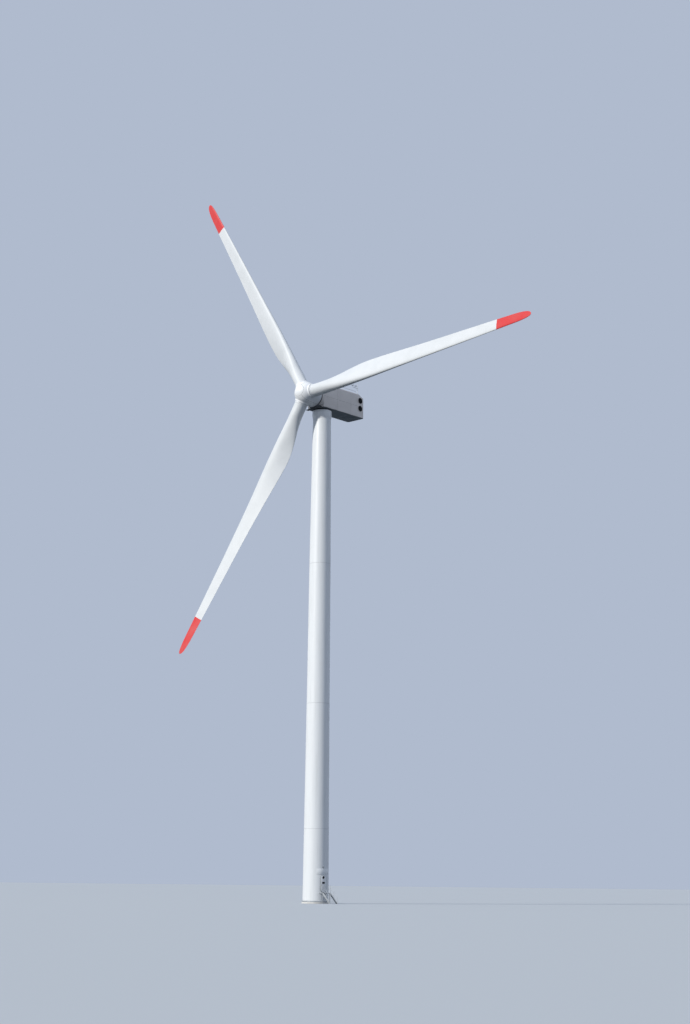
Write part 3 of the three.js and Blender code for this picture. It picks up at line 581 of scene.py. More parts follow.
def bar(route, radius, material, bend=0.0, sides=12):
    """A round bar along a route, with its corners bent to a radius."""
    points = [Vector(p) for p in route]
    path = [points[0]]
    for before, corner, after in zip(points, points[1:], points[2:]):
        start = corner + (before - corner).normalized() * bend
        end = corner + (after - corner).normalized() * bend
        for step in range(BEND_STEPS + 1):
            t = step / BEND_STEPS
            path.append(start * (1 - t) ** 2 + corner * 2 * t * (1 - t) + end * t**2)
    path.append(points[-1])
    curve = bpy.data.curves.new("bar", "CURVE")
    curve.dimensions = "3D"
    spline = curve.splines.new("POLY")
    spline.points.add(len(path) - 1)
    for point, place in zip(spline.points, path):
        point.co = (*place, 1)
    curve.bevel_depth = radius
    curve.bevel_resolution = max(1, sides // 4 - 1)
    curve.use_fill_caps = True
    mesh = settled(carried(curve))
    mesh.materials.clear()
    mesh.materials.append(material)
    return face_outwards(mesh)


def cut(mesh, cutter):
    """The mesh with the cutter's volume taken away."""
    carrier = carried(mesh)
    knife = carried(cutter)
    change = carrier.modifiers.new("cut", "BOOLEAN")
    change.operation = "DIFFERENCE"
    change.solver = "EXACT"
    change.object = knife
    result = settled(carrier)
    bpy.data.objects.remove(knife)
    return result


def merged(parts):
    """One mesh from several, each keeping its own materials."""
    materials = []
    work = bmesh.new()
    for part in parts:
        slots = []
        for material in part.materials:
            if material not in materials:
                materials.append(material)
            slots.append(materials.index(material))
        first = len(work.faces)
        work.from_mesh(part)
        work.faces.ensure_lookup_table()
        for face in work.faces[first:]:
            face.material_index = slots[min(face.material_index, len(slots) - 1)]
    mesh = bpy.data.meshes.new("merged")
    work.to_mesh(mesh)
    work.free()
    for material in materials:
        mesh.materials.append(material)
    return mesh


def piece(name, parts, body, replaced=(), smooth=math.radians(32)):
    """Puts one mesh, or several as one, in the scene on its body, for the CAD nodes that it stands for."""
    mesh = merged(parts) if isinstance(parts, list) else parts
    mesh.name = name
    if body not in ("tower", "door"):
        mesh.transform(Matrix.Rotation(HEADING, 4, "Z"))
    mesh.shade_smooth()
    mesh.set_sharp_from_angle(angle=smooth)
    thing = bpy.data.objects.new(name, mesh)
    bpy.context.scene.collection.objects.link(thing)
    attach(thing, body)
    if replaced:
        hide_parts(*replaced)
    return thing


# Patterns that repeat, as node trees


def new_tree(name, counts, lengths):
    """A geometry tree with one named input for each count and length, and one geometry output."""
    tree = bpy.data.node_groups.new(name, "GeometryNodeTree")
    for kind, sizes in (("NodeSocketInt", counts), ("NodeSocketFloat", lengths)):
        for size in sizes:
            tree.interface.new_socket(name=size, in_out="INPUT", socket_type=kind)
    tree.interface.new_socket(name="Geometry", in_out="OUTPUT", socket_type="NodeSocketGeometry")
    return tree, add_node(tree, "NodeGroupInput").node.outputs


def finish_tree(tree, geometry, material):
    real = add_node(tree, "GeometryNodeRealizeInstances", {"Geometry": geometry})
    dressed = add_node(tree, "GeometryNodeSetMaterial", {"Geometry": real, "Material": material})
    add_node(tree, "NodeGroupOutput", {"Geometry": dressed})
    return tree


def grown(tree, sizes, place=UNMOVED):
    """The plain mesh that a tree makes with these sizes."""
    carrier = carried(bpy.data.meshes.new("grown"))
    change = carrier.modifiers.new("tree", "NODES")
    change.node_group = tree
    for item in tree.interface.items_tree:
        if item.in_out == "INPUT" and item.name in sizes:
            change[item.identifier] = sizes[item.name]
    carrier.update_tag()
    mesh = settled(carrier)
    mesh.transform(place)
    return mesh


def bolt_circle_tree(material):
    """Hexagon bolts with washers, standing along Z round a circle: one of unit size, scaled."""
    tree, size = new_tree("bolt circle", ["Count"], ["Circle Radius", "Bolt Width", "Bolt Height"])
    ring = {"Vertices": size["Count"], "Radius": size["Circle Radius"]}
    circle = add_node(tree, "GeometryNodeMeshCircle", ring)
    bolt = add_node(tree, "GeometryNodeJoinGeometry")
    for corners, radius, height in ((6, 0.5, 1.0), (14, 0.68, 0.2)):
        inputs = {"Vertices": corners, "Radius": radius, "Depth": height}
        disc = add_node(tree, "GeometryNodeMeshCylinder", inputs)
        lifted = {"Geometry": disc, "Translation": (0, 0, height / 2)}
        tree.links.new(add_node(tree, "GeometryNodeTransform", lifted), bolt.node.inputs[0])
    width = size["Bolt Width"]
    scale = add_node(tree, "ShaderNodeCombineXYZ", {"X": width, "Y": width, "Z": size["Bolt Height"]})
    inputs = {"Points": circle, "Instance": bolt, "Scale": scale}
    return finish_tree(tree, add_node(tree, "GeometryNodeInstanceOnPoints", inputs), material)


def slat_tree(material):
    """Slats along Y stacked along Z inside a circle, each as long as the circle is wide there."""
    lengths = ["Opening Radius", "Slat Thickness", "Slat Depth", "Tilt"]
    tree, size = new_tree("round louvre", ["Count"], lengths)
    radius = size["Opening Radius"]
    ends = {"Count": size["Count"], "Start Location": (0, 0, -SLAT_SPREAD), "Offset": (0, 0, SLAT_SPREAD)}
    line = add_node(tree, "GeometryNodeMeshLine", ends, mode="END_POINTS")
    stack = add_node(tree, "GeometryNodeTransform", {"Geometry": line, "Scale": radius})
    length = add_node(tree, "ShaderNodeSeparateXYZ", {0: add_node(tree, "GeometryNodeInputPosition")}, "Z")
    # A circle is twice its radius times the cosine of the arc sine of the height by the radius wide
    steps = (("DIVIDE", radius), ("ARCSINE", 0), ("COSINE", 0), ("MULTIPLY", radius), ("MULTIPLY", 2))
    for operation, value in steps:
        length = add_node(tree, "ShaderNodeMath", {0: length, 1: value}, operation=operation)
    section = {"X": size["Slat Depth"], "Y": 1.0, "Z": size["Slat Thickness"]}
    slat = add_node(tree, "GeometryNodeMeshCube", {"Size": add_node(tree, "ShaderNodeCombineXYZ", section)})
    tilt = add_node(tree, "ShaderNodeCombineXYZ", {"Y": size["Tilt"]})
    tilted = add_node(tree, "GeometryNodeTransform", {"Geometry": slat, "Rotation": tilt})
    scale = add_node(tree, "ShaderNodeCombineXYZ", {"X": 1.0, "Y": length, "Z": 1.0})
    inputs = {"Points": stack, "Instance": tilted, "Scale": scale}
    return finish_tree(tree, add_node(tree, "GeometryNodeInstanceOnPoints", inputs), material)


def grating_tree(material):
    """A bar grating in X and Y: upright bearing bars along X and thinner cross bars along Y."""
    lengths = ["Length", "Width", "Bar", "Height"]
    tree, size = new_tree("bar grating", ["Bars", "Cross Bars"], lengths)
    spread = add_node(tree, "ShaderNodeCombineXYZ", {"X": size["Length"], "Y": size["Width"], "Z": 1.0})
    both = add_node(tree, "GeometryNodeJoinGeometry")
    plans = [
        ("Bars", Vector((0, 0.5, 0)), ("Length", "Bar", "Height"), 1.0),
        ("Cross Bars", Vector((0.5, 0, 0)), ("Bar", "Width", "Height"), CROSS_BAR_SHARE),
    ]
    for count, end, section, share in plans:
        ends = {"Count": size[count], "Start Location": -end, "Offset": end}
        line = add_node(tree, "GeometryNodeMeshLine", ends, mode="END_POINTS")
        spaced = add_node(tree, "GeometryNodeTransform", {"Geometry": line, "Scale": spread})
        box = add_node(tree, "ShaderNodeCombineXYZ", {axis: size[part] for axis, part in zip("XYZ", section)})
        bar = add_node(tree, "GeometryNodeMeshCube", {"Size": box})
        inputs = {"Points": spaced, "Instance": bar, "Scale": (1, 1, share)}
        tree.links.new(add_node(tree, "GeometryNodeInstanceOnPoints", inputs), both.node.inputs[0])
    return finish_tree(tree, both, material)


BOLTS = bolt_circle_tree(ZINC)
SLATS = slat_tree(BLACK_PLASTIC)
GRATING = grating_tree(ZINC)


def bolt_ring(count, circle, width, height, place):
    sizes = {"Count": count, "Circle Radius": circle, "Bolt Width": width, "Bolt Height": height}
    return grown(BOLTS, sizes, place)


def grating(length, width, bars, cross_bars, height, place):
    sizes = {"Length": length, "Width": width, "Bars": bars, "Cross Bars": cross_bars}
    return grown(GRATING, sizes | {"Bar": GRATING_BAR, "Height": height}, place)


# Tower


def straight_radius(height):
    """The tower's outer radius where its sections are plain cones."""
    z = height / M
    heights = [h for h, _ in TOWER_PROFILE]
    i = min(max(bisect.bisect_right(heights, z), 1), len(heights) - 1)
    (z0, r0), (z1, r1) = TOWER_PROFILE[i - 1], TOWER_PROFILE[i]
    return (r0 + (r1 - r0) * (z - z0) / (z1 - z0)) * M


def tower_radius(height):
    """The same with the shoulder's corners rolled round, as pressed plate is."""
    spread = 0.45 * M
    if height < 72.6 * M or height > 77.4 * M:
        return straight_radius(height)
    return sum(straight_radius(height + spread * step / 4) for step in range(-4, 5)) / 9


def tower_outline(low, high, wall, steps=1):
    """A tube's closed outline, with a weld bead between the cans that it is made of."""
    cans = max(1, round((high - low) / CAN_HEIGHT))
    outer = []
    for can in range(cans):
        start = low + (high - low) * can / cans
        end = low + (high - low) * (can + 1) / cans
        if can:
            outer += [(tower_radius(start) + WELD_PROUD, start)]
            outer += [(tower_radius(start), start + WELD_WIDTH * part) for part in (1, 2)]
        for step in range(0 if can == 0 else 1, steps):
            z = start + (end - start) * step / steps
            outer.append((tower_radius(z), z))
        if can < cans - 1:
            outer += [(tower_radius(end), end - WELD_WIDTH * part) for part in (2, 1)]
    outer.append((tower_radius(high), high))
    inner_heights = [high - (high - low) * step / (cans * steps) for step in range(cans * steps + 1)]
    inner = [(tower_radius(z) - wall, z) for z in inner_heights]
    return outer + inner


def round_end_outline(half_width, low, high, steps=20):
    """An upright outline with half-round ends."""
    points = []
    for centre, start in ((high - half_width, 0), (low + half_width, math.pi)):
        for step in range(steps + 1):
            angle = start + math.pi * step / steps
            points.append((half_width * math.cos(angle), centre + half_width * math.sin(angle)))
    return points


def door_outline(extra):
    """The doorway's outline, wider all round by extra."""
    return round_end_outline(DOOR_HALF_WIDTH + extra, SILL - extra, SILL + DOOR_HEIGHT + extra)


def eased_ring(inner, outer, low, high, ease):
    """The section of a flat ring with its two outer edges eased."""
    return [
        (inner, low),
        (outer - ease, low),
        (outer, low + ease),
        (outer, high - ease),
        (outer - ease, high),
        (inner, high),
    ]


def make_tower():
    low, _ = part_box("base_wall_far_nose")
    first, second, third = JOINT_HEIGHTS
    half = FLANGE_HEIGHT / 2
    foot = turned(tower_outline(low.z, first - half, BASE_WALL), TOWER_PAINT, tube=True)
    at_wall = moved(1.5 * M, 0, 0) @ FACING_DOOR
    knife = slab(door_outline(FRAME_WIDTH), 1.0 * M, TOWER_PAINT, at_wall)
    walls = [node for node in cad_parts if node.startswith("base_wall_")]
    piece("tower_foot_section", cut(foot, knife), "tower", [*walls, "tower_section_1"])
    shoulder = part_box("tower_shoulder")
    spans = {
        "tower_section_2": (first + half, second - half, 1),
        "tower_section_3": (second + half, third - half, 1),
        "tower_section_4": (third + half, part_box("tower_section_4")[1].z, 1),
        "tower_shoulder": (shoulder[0].z, shoulder[1].z, 12),
    }
    for name, (start, end, steps) in spans.items():
        mesh = turned(tower_outline(start, end, UPPER_WALL, steps), TOWER_PAINT, tube=True)
        piece(name + "_skin", mesh, "tower", [name])
    make_neck_collar()


def make_neck_collar():
    """The wide collar at the tower's top that carries the yaw ring."""
    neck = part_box("tower_neck")
    low = neck[0].z
    top = neck[1].z
    ease = 20 * MM
    outline = [
        (NECK_BORE, low),
        (tower_radius(low), low),
        (NECK_COLLAR_RADIUS - 6 * MM, low + 520 * MM),
        (NECK_COLLAR_RADIUS, low + 580 * MM),
        (NECK_COLLAR_RADIUS, top - ease),
        (NECK_COLLAR_RADIUS - ease, top),
        (NECK_BORE, top),
    ]
    # The collar's paler paint is painted light in the shade under the nacelle
    mesh = turned(outline, NECK_LIGHT_AND_PANEL_PAINT, tube=True)
    piece("tower_neck_skin", mesh, "tower", ["tower_neck"])


def make_tower_joints():
    """Each section joint: two flush flanges with a sealed groove between them."""
    for number, middle in enumerate(JOINT_HEIGHTS, start=1):
        low = middle - FLANGE_HEIGHT / 2
        high = middle + FLANGE_HEIGHT / 2
        inner = tower_radius(middle) - UPPER_WALL - FLANGE_WIDTH
        bottom = tower_radius(low)
        top = tower_radius(high)
        ease = 6 * MM
        outline = [
            (bottom, low),
            (bottom, middle - JOINT_GROOVE - ease),
            (bottom - ease, middle - JOINT_GROOVE),
            (bottom - 3 * ease, middle - JOINT_GROOVE),
            (top - 3 * ease, middle + JOINT_GROOVE),
            (top - ease, middle + JOINT_GROOVE),
            (top, middle + JOINT_GROOVE + ease),
            (top, high),
            (inner, high),
            (inner, low),
        ]
        flanges = turned(outline, TOWER_PAINT, tube=True)
        seal = turned(
            [
                (bottom - 2 * ease, middle - JOINT_GROOVE),
                (bottom - ease, middle - JOINT_GROOVE * 0.6),
                (top - ease, middle + JOINT_GROOVE * 0.6),
                (top - 2 * ease, middle + JOINT_GROOVE),
                (top - 3.5 * ease, middle),
            ],
            JOINT_SEALANT,
            tube=True,
        )
        name = f"tower_flange_{number}"
        piece(name + "_joint", [flanges, seal], "tower", [name])


def make_foundation():
    _, (radius, _, top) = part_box("foundation_plinth")
    ease = 30 * MM
    outline = [(0, 0), (radius, 0), (radius, top - ease), (radius - ease, top), (0, top)]
    piece("foundation_rim", turned(outline, CONCRETE), "tower", ["foundation_plinth"])
    low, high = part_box("base_flange")
    ring = turned(eased_ring(BASE_FLANGE_BORE, high.x, low.z, high.z, 8 * MM), ZINC, tube=True)
    piece("base_flange_ring", ring, "tower", ["base_flange"])
    on_flange = moved(0, 0, high.z)
    # Nuts first, then the ends of the studs that stand out of them
    sizes = ((62 * MM, 62 * MM), (36 * MM, 110 * MM))
    bolts = [bolt_ring(ANCHOR_COUNT, ANCHOR_CIRCLE, width, height, on_flange) for width, height in sizes]
    piece("anchor_bolts", bolts, "tower")


# Tower door


def raised_outline(outline, inset):
    """An outline pulled in by about inset all round its middle."""
    middle_y = sum(p[1] for p in outline) / len(outline)
    width = max(p[0] for p in outline)
    height = max(p[1] for p in outline) - middle_y
    narrower = (width - inset) / width
    lower = (height - inset) / height
    return [(x * narrower, middle_y + (y - middle_y) * lower) for x, y in outline]


def make_door_frame():
    outer = door_outline(FRAME_WIDTH)
    inner = door_outline(0)
    depth = FRAME_FRONT - FRAME_BACK
    ease = 8 * MM
    levels = [
        (outer, 0),
        (outer, depth - ease),
        (raised_outline(outer, ease), depth),
        (raised_outline(inner, -ease), depth),
        (inner, depth - ease),
        (inner, 0),
    ]
    points = [(x, y, z) for outline, z in levels for x, y in outline]
    faces = ring_faces(len(levels), len(outer), closed_rings=True)
    place = moved(FRAME_BACK, 0, 0) @ FACING_DOOR
    ring = face_outwards(new_mesh(points, faces, FRAME_SHADE_GREY_PAINT, place))
    x = (FRAME_FRONT - 10 * MM, HINGE_X)
    y = (HINGE_Y - 8 * MM, HINGE_Y + 8 * MM)
    parts = [ring, *hinge_halves(-KNUCKLE_HEIGHT, x, y, FRAME_SHADE_GREY_PAINT)]
    piece("door_frame_ring", parts, "tower", ["door_frame"])


def hinge_halves(rise, x, y, material):
    """One half of each hinge, rise above the hinge's middle: a knuckle, and its tab between x and y."""
    parts = []
    for middle in HINGE_HEIGHTS:
        low = middle + rise
        high = low + KNUCKLE_HEIGHT
        section = eased_ring(0, KNUCKLE_RADIUS, low, high, 3 * MM)
        parts.append(turned(section, ZINC, moved(HINGE_X, HINGE_Y, 0), sides=24))
        parts.append(block((x[0], y[0], low), (x[1], y[1], high), material, 2 * MM))
    return parts


def make_door_leaf():
    back = FRAME_FRONT + FIT
    outline = door_outline(LEAF_OVERLAP)
    at_back = moved(back, 0, 0) @ FACING_DOOR
    at_panel = moved(back + LEAF_THICKNESS * 0.65, 0, 0) @ FACING_DOOR
    inset = raised_outline(outline, 90 * MM)
    x = (HINGE_X - 8 * MM, HINGE_X + 8 * MM)
    y = (DOOR_HALF_WIDTH - 40 * MM, HINGE_Y)
    parts = [
        slab(outline, LEAF_THICKNESS * 0.8, TOWER_PAINT, at_back, bevel=5 * MM),
        slab(inset, LEAF_THICKNESS * 0.35, NECK_LIGHT_AND_PANEL_PAINT, at_panel, bevel=4 * MM),
        *hinge_halves(FIT, x, y, TOWER_PAINT),
    ]
    piece("door_leaf_plate", parts, "door", ["door_leaf"])
    make_door_louvre(back + LEAF_THICKNESS)
    make_door_handle(back + LEAF_THICKNESS)


def make_door_louvre(face):
    low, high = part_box("door_louvre")
    rim = 22 * MM
    proud = 20 * MM
    parts = [
        block((face, low.y, low.z), (face + 3 * MM, high.y, high.z), BLACK_PLASTIC, 0),
        block((face, low.y, low.z), (face + proud, low.y + rim, high.z), BLACK_PLASTIC),
        block((face, high.y - rim, low.z), (face + proud, high.y, high.z), BLACK_PLASTIC),
        block((face, low.y, low.z), (face + proud, high.y, low.z + rim), BLACK_PLASTIC),
        block((face, low.y, high.z - rim), (face + proud, high.y, high.z), BLACK_PLASTIC),
    ]
    slats = 6
    for i in range(slats):
        z = low.z + rim + (high.z - low.z - 2 * rim) * (i + 0.5) / slats
        tilt = moved(face + 9 * MM, 0, z) @ rotated(40, "Y")
        slat = ((-12 * MM, low.y + rim, -2 * MM), (12 * MM, high.y - rim, 2 * MM))
        parts.append(block(*slat, BLACK_PLASTIC, 1 * MM, tilt))
    piece("door_louvre_grille", parts, "door", ["door_louvre"])


def make_door_handle(face):
    low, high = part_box("door_handle")
    middle = low.y + 30 * MM
    out = face + 36 * MM
    route = [(face, middle, LEVER_HEIGHT), (out, middle, LEVER_HEIGHT), (out, high.y, LEVER_HEIGHT)]
    lock = [(0, 0), (14 * MM, 0), (14 * MM, 12 * MM), (10 * MM, 15 * MM), (0, 15 * MM)]
    at_lock = moved(face, middle, LOCK_HEIGHT) @ FACING_DOOR
    bottom, top = HANDLE_PLATE_HEIGHTS
    parts = [
        block((face, low.y, bottom), (face + 8 * MM, low.y + 60 * MM, top), ZINC, 3 * MM),
        bar(route, 9 * MM, ZINC, bend=14 * MM),
        turned(lock, BEARING_STEEL, at_lock, sides=20),
    ]
    piece("door_handle_lever", parts, "door", ["door_handle"])


def bent_sheet(heights, lifts, angles, steps, material):
    """A sheet bent round the tower between two heights, two lifts off its wall and two angles."""
    low, high = heights
    inner, outer = lifts
    first, last = angles
    rings = []
    for step in range(steps + 1):
        angle = first + (last - first) * step / steps
        ring = []
        for lift, z in ((inner, low), (outer, low), (outer, high), (inner, high)):
            radius = straight_radius(z) + lift
            ring.append(Vector((radius * math.cos(angle), radius * math.sin(angle), z)))
        rings.append(ring)
    return face_outwards(lofted(rings, material))


def make_door_fittings():
    """The bare sign sheet bent round the tower on battens, the lamp and the door's round vent."""
    front = FIT + 18 * MM
    back = front - 12 * MM
    half = SIGN_HALF_ANGLE
    wide = math.radians(0.8)
    inner_heights = (SIGN_LOW + 20 * MM, SIGN_HIGH - 20 * MM)
    head = [(0, -9 * MM), (13 * MM, -9 * MM), (13 * MM, 3 * MM), (9 * MM, 6 * MM), (0, 7 * MM)]
    sheet = bent_sheet((SIGN_LOW, SIGN_HIGH), (back, front), (-half, half), 48, SIGN_SHEET)
    parts = [bevel_edges(sheet, 3 * MM)]
    for share in (-0.92, -0.31, 0.31, 0.92):
        angle = half * share
        parts.append(bent_sheet(inner_heights, (FIT, back), (angle - wide, angle + wide), 2, ZINC))
        for z in (SIGN_LOW + 60 * MM, SIGN_HIGH - 60 * MM):
            lift = moved(straight_radius(z) + front, 0, z)
            parts.append(turned(head, ZINC, Matrix.Rotation(angle, 4, "Z") @ lift @ FACING_DOOR, sides=16))
    piece("sign_sheet", parts, "tower", ["sign_plate"])
    make_lamp()
    low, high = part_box("door_round_vent")
    at = (low.x, 0, (low.z + high.z) / 2)
    radius = (high.z - low.z) / 2
    grille = round_grille(at, radius, high.x - low.x, 1, BLACK_PLASTIC)
    piece("door_vent_grille", grille, "door", ["door_round_vent"])


def make_lamp():
    low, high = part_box("door_lamp")
    radius = (high.z - low.z) / 2
    back = straight_radius(LAMP_HEIGHT)
    reach = high.x - back
    place = moved(back, 0, (low.z + high.z) / 2) @ FACING_DOOR
    foot = [(0, -20 * MM), (radius, -20 * MM), (radius, 40 * MM), (radius * 0.82, 48 * MM), (0, 48 * MM)]
    dome = [(0, 40 * MM), (radius * 0.78, 40 * MM)]
    for step in range(9):
        angle = math.pi / 2 * step / 8
        dome.append((radius * 0.78 * math.cos(angle), 48 * MM + (reach - 56 * MM) * math.sin(angle)))
    parts = [turned(foot, BLACK_PLASTIC, place, sides=40), turned(dome, LAMP_GLASS, place, sides=40)]
    stations = ((0.86, 44 * MM), (0.8, reach - 12 * MM), (-0.8, reach - 12 * MM), (-0.86, 44 * MM))
    for angle in (0, math.pi / 2):
        across = Vector((math.cos(angle), math.sin(angle), 0)) * radius
        route = [place @ (across * share + Vector((0, 0, ahead))) for share, ahead in stations]
        parts.append(bar(route, 5 * MM, ZINC, bend=30 * MM, sides=8))
    piece("door_lamp_bulkhead", parts, "tower", ["door_lamp"])


def round_grille(at, radius, depth, outward, collar):
    """The parts of a round louvred grille on a wall that faces +X or -X (outward 1 or -1)."""
    side = Matrix.Identity(4) if outward > 0 else rotated(180, "Z")
    place = Matrix.Translation(at) @ side
    rim = radius * 0.12
    ease = 5 * MM
    outline = [
        (radius, 0),
        (radius, depth - ease),
        (radius - ease, depth),
        (radius - rim + ease, depth),
        (radius - rim, depth - ease),
        (radius - rim, 0),
    ]
    # A black disc behind the slats: painted shade inside the opening
    back = [(0, 2 * MM), (radius - rim / 2, 2 * MM), (radius - rim / 2, 0), (0, 0)]
    sizes = {
        "Count": max(5, round(2 * radius / (95 * MM))),
        "Opening Radius": radius - rim * 0.9,
        "Slat Thickness": 6 * MM,
        "Slat Depth": depth * 0.95,
        "Tilt": math.radians(38),
    }
    spine = ((depth * 0.35, -12 * MM, -radius + rim), (depth * 0.8, 12 * MM, radius - rim))
    return [
        turned(outline, collar, place @ FACING_DOOR, sides=72, tube=True),
        turned(back, BLACK_PLASTIC, place @ FACING_DOOR, 72),
        grown(SLATS, sizes, place @ moved(depth * 0.5, 0, 0)),
        block(*spine, BLACK_PLASTIC, 2 * MM, place),
    ]


# Platform and stair


def make_platform():
    top = PLATFORM_TOP
    half = PLATFORM_HALF_WIDTH
    inner_x = straight_radius(top) + FIT
    start = inner_x + 10 * MM
    parts = [
        block((PLATFORM_END - 8 * MM, -half, top - 90 * MM), (PLATFORM_END, half, top), ZINC),
        block((start, -0.42 * M, top - 90 * MM), (start + 8 * MM, 0.42 * M, top), ZINC),
    ]
    edge_x = math.sqrt(inner_x**2 - half**2) + FIT
    post_x = PLATFORM_END - 100 * MM
    for sign in (-1, 1):
        y = sign * half
        near, far = sorted((y, y - sign * 8 * MM))
        parts.append(block((edge_x + 10 * MM, near, top - 90 * MM), (PLATFORM_END, far, top), ZINC))
        y = sign * (half - 50 * MM)
        post = ((post_x - 40 * MM, y - 40 * MM, 12 * MM), (post_x + 40 * MM, y + 40 * MM, top - 80 * MM))
        parts.append(block(*post, ZINC, 6 * MM))
        near, far = sorted((y - sign * 60 * MM, y + sign * 50 * MM))
        parts.append(block((post_x - 80 * MM, near, 0), (post_x + 80 * MM, far, 12 * MM), ZINC, 2 * MM))
    for y in (-0.5 * M, 0, 0.5 * M):
        wall = math.sqrt(inner_x**2 - y**2) + FIT
        profile = [
            (wall, top - 220 * MM),
            (wall + 60 * MM, top - 220 * MM),
            (2.5 * M, top - 60 * MM),
            (wall, top - 40 * MM),
        ]
        upright = moved(0, y + 8 * MM, 0) @ rotated(90, "X")
        parts.append(slab(profile, 16 * MM, ZINC, upright, bevel=2 * MM))
    length = PLATFORM_END - start - 16 * MM
    bars = round((2 * half) / GRATING_PITCH)
    cross_bars = round(length / (3 * GRATING_PITCH)) + 1
    place = moved(start + 8 * MM + length / 2, 0, top - 16 * MM)
    parts.append(grating(length, 2 * half - 24 * MM, bars, cross_bars, 30 * MM, place))
    piece("platform_frame", parts, "tower", ["stair_platform"])


def make_stair():
    start = PLATFORM_END + FIT
    rise = PLATFORM_TOP / (STEP_COUNT + 1)
    run = (STAIR_FOOT - start) / (STEP_COUNT + 1)
    half = PLATFORM_HALF_WIDTH
    outline = [
        (start, PLATFORM_TOP),
        (start, PLATFORM_TOP - 340 * MM),
        (STAIR_FOOT - 300 * MM, 0),
        (STAIR_FOOT + 50 * MM, 0),
        (STAIR_FOOT + 50 * MM, 100 * MM),
        (start + 80 * MM, PLATFORM_TOP),
    ]
    web = 8 * MM
    parts = []
    for sign in (-1, 1):
        y = sign * half - (web if sign > 0 else 0)
        place = moved(0, y + web, 0) @ rotated(90, "X")
        parts.append(slab(outline, web, ZINC, place, bevel=2 * MM))
        inner = sign * (half - web)
        lip = sorted((inner, inner - sign * 35 * MM))
        # A lip along the lower and the upper edge, turned to the inside of the web
        for (x0, z0), (x1, z1), lift in ((outline[1], outline[2], 1), (outline[5], outline[4], -1)):
            start_point = Vector((x0, 0, z0))
            end_point = Vector((x1, 0, z1))
            across = Vector((z0 - z1, 0, x1 - x0)).normalized() * web * lift
            corners = [start_point, end_point, end_point + across, start_point + across]
            rings = [[Vector((c.x, y, c.z)) for c in corners] for y in lip]
            parts.append(face_outwards(lofted(rings, ZINC)))
    width = 2 * half - 20 * MM
    for i in range(1, STEP_COUNT + 1):
        top = PLATFORM_TOP - i * rise
        x = start + i * run
        place = moved(x - 15 * MM, 0, top - 15 * MM)
        parts.append(grating(240 * MM, width - 10 * MM, 24, 5, 28 * MM, place))
        nosing = ((x + 104 * MM, -width / 2, top - 40 * MM), (x + 120 * MM, width / 2, top))
        parts.append(block(*nosing, ZINC, 3 * MM))
    piece("stair_flight_steel", parts, "tower", ["stair_flight"])


def make_rails():
    slope = PLATFORM_TOP / (STAIR_FOOT - PLATFORM_END)
    wall_x = 2.12 * M
    corner_x = PLATFORM_END - 30 * MM
    last_x = STAIR_FOOT - 100 * MM

    def deck_at(x):
        return PLATFORM_TOP - max(0, x - PLATFORM_END) * slope

    for side, sign in (("nose", -1), ("tail", 1)):
        y = sign * (PLATFORM_HALF_WIDTH + FIT + RAIL_RADIUS)
        top = [(x, y, deck_at(x) + RAIL_HEIGHT) for x in (wall_x, PLATFORM_END, last_x)]
        hoop = [(wall_x, y, PLATFORM_TOP - 50 * MM), *top, (last_x, y, 0)]
        parts = [bar(hoop, RAIL_RADIUS, ZINC, bend=90 * MM, sides=16)]
        middle = [(x, y, deck_at(x) + RAIL_HEIGHT / 2) for x in (wall_x, PLATFORM_END, last_x)]
        parts.append(bar(middle, RAIL_RADIUS * 0.7, ZINC, bend=60 * MM))
        for x in (corner_x, (corner_x + last_x) / 2):
            foot = deck_at(x) - (50 * MM if x < PLATFORM_END else 100 * MM)
            post = [(x, y, foot), (x, y, deck_at(x) + RAIL_HEIGHT)]
            parts.append(bar(post, RAIL_RADIUS, ZINC))
        name = f"stair_rail_{side}"
        piece(name + "_tube", parts, "tower", [name])


# Nacelle


def round_housing_edges(mesh):
    """Rounds the tail's upright corners, the upper, lower and front edges, each to its own radius."""

    def both(a, b, y):
        return abs(a.y - y) < MM and abs(b.y - y) < MM

    def upper(a, b):
        return min(a.z, b.z) > NACELLE_ROOF - TAIL_CHAMFER_DOWN - MM and not both(a, b, NACELLE_FRONT)

    def lower(a, b):
        return max(a.z, b.z) < NACELLE_FLOOR + MM and not both(a, b, NACELLE_FRONT)

    radii = [
        (TAIL_CORNER_RADIUS, lambda a, b: both(a, b, NACELLE_TAIL) and abs(a.z - b.z) > MM),
        (UPPER_EDGE_RADIUS, upper),
        (LOWER_EDGE_RADIUS, lower),
        (FRONT_EDGE_RADIUS, lambda a, b: both(a, b, NACELLE_FRONT)),
    ]
    work = bmesh.new()
    work.from_mesh(mesh)
    for radius, chosen in radii:
        edges = []
        for edge in work.edges:
            a, b = (v.co for v in edge.verts)
            outside = all(abs(abs(p.x) - NACELLE_HALF_WIDTH) < MM for p in (a, b))
            across = both(a, b, NACELLE_TAIL) or both(a, b, NACELLE_FRONT)
            slope = abs(a.x - b.x) > M and min(a.y, b.y) > NACELLE_TAIL - TAIL_CHAMFER_BACK - MM
            if (outside or across or slope) and edge.calc_face_angle(0) > math.radians(20) and chosen(a, b):
                edges.append(edge)
        bmesh.ops.bevel(work, geom=edges, offset=radius, segments=6, affect="EDGES", profile=0.5)
    work.to_mesh(mesh)
    work.free()
    return mesh


def housing_shape():
    """The whole housing as one rounded body."""
    profile = [
        (NACELLE_FRONT, NACELLE_FLOOR),
        (NACELLE_TAIL, NACELLE_FLOOR),
        (NACELLE_TAIL, NACELLE_ROOF - TAIL_CHAMFER_DOWN),
        (NACELLE_TAIL - TAIL_CHAMFER_BACK, NACELLE_ROOF),
        (NACELLE_FRONT, NACELLE_ROOF),
    ]
    rings = [[(x, y, z) for y, z in profile] for x in (-NACELLE_HALF_WIDTH, NACELLE_HALF_WIDTH)]
    return round_housing_edges(face_outwards(lofted(rings, HOUSING)))


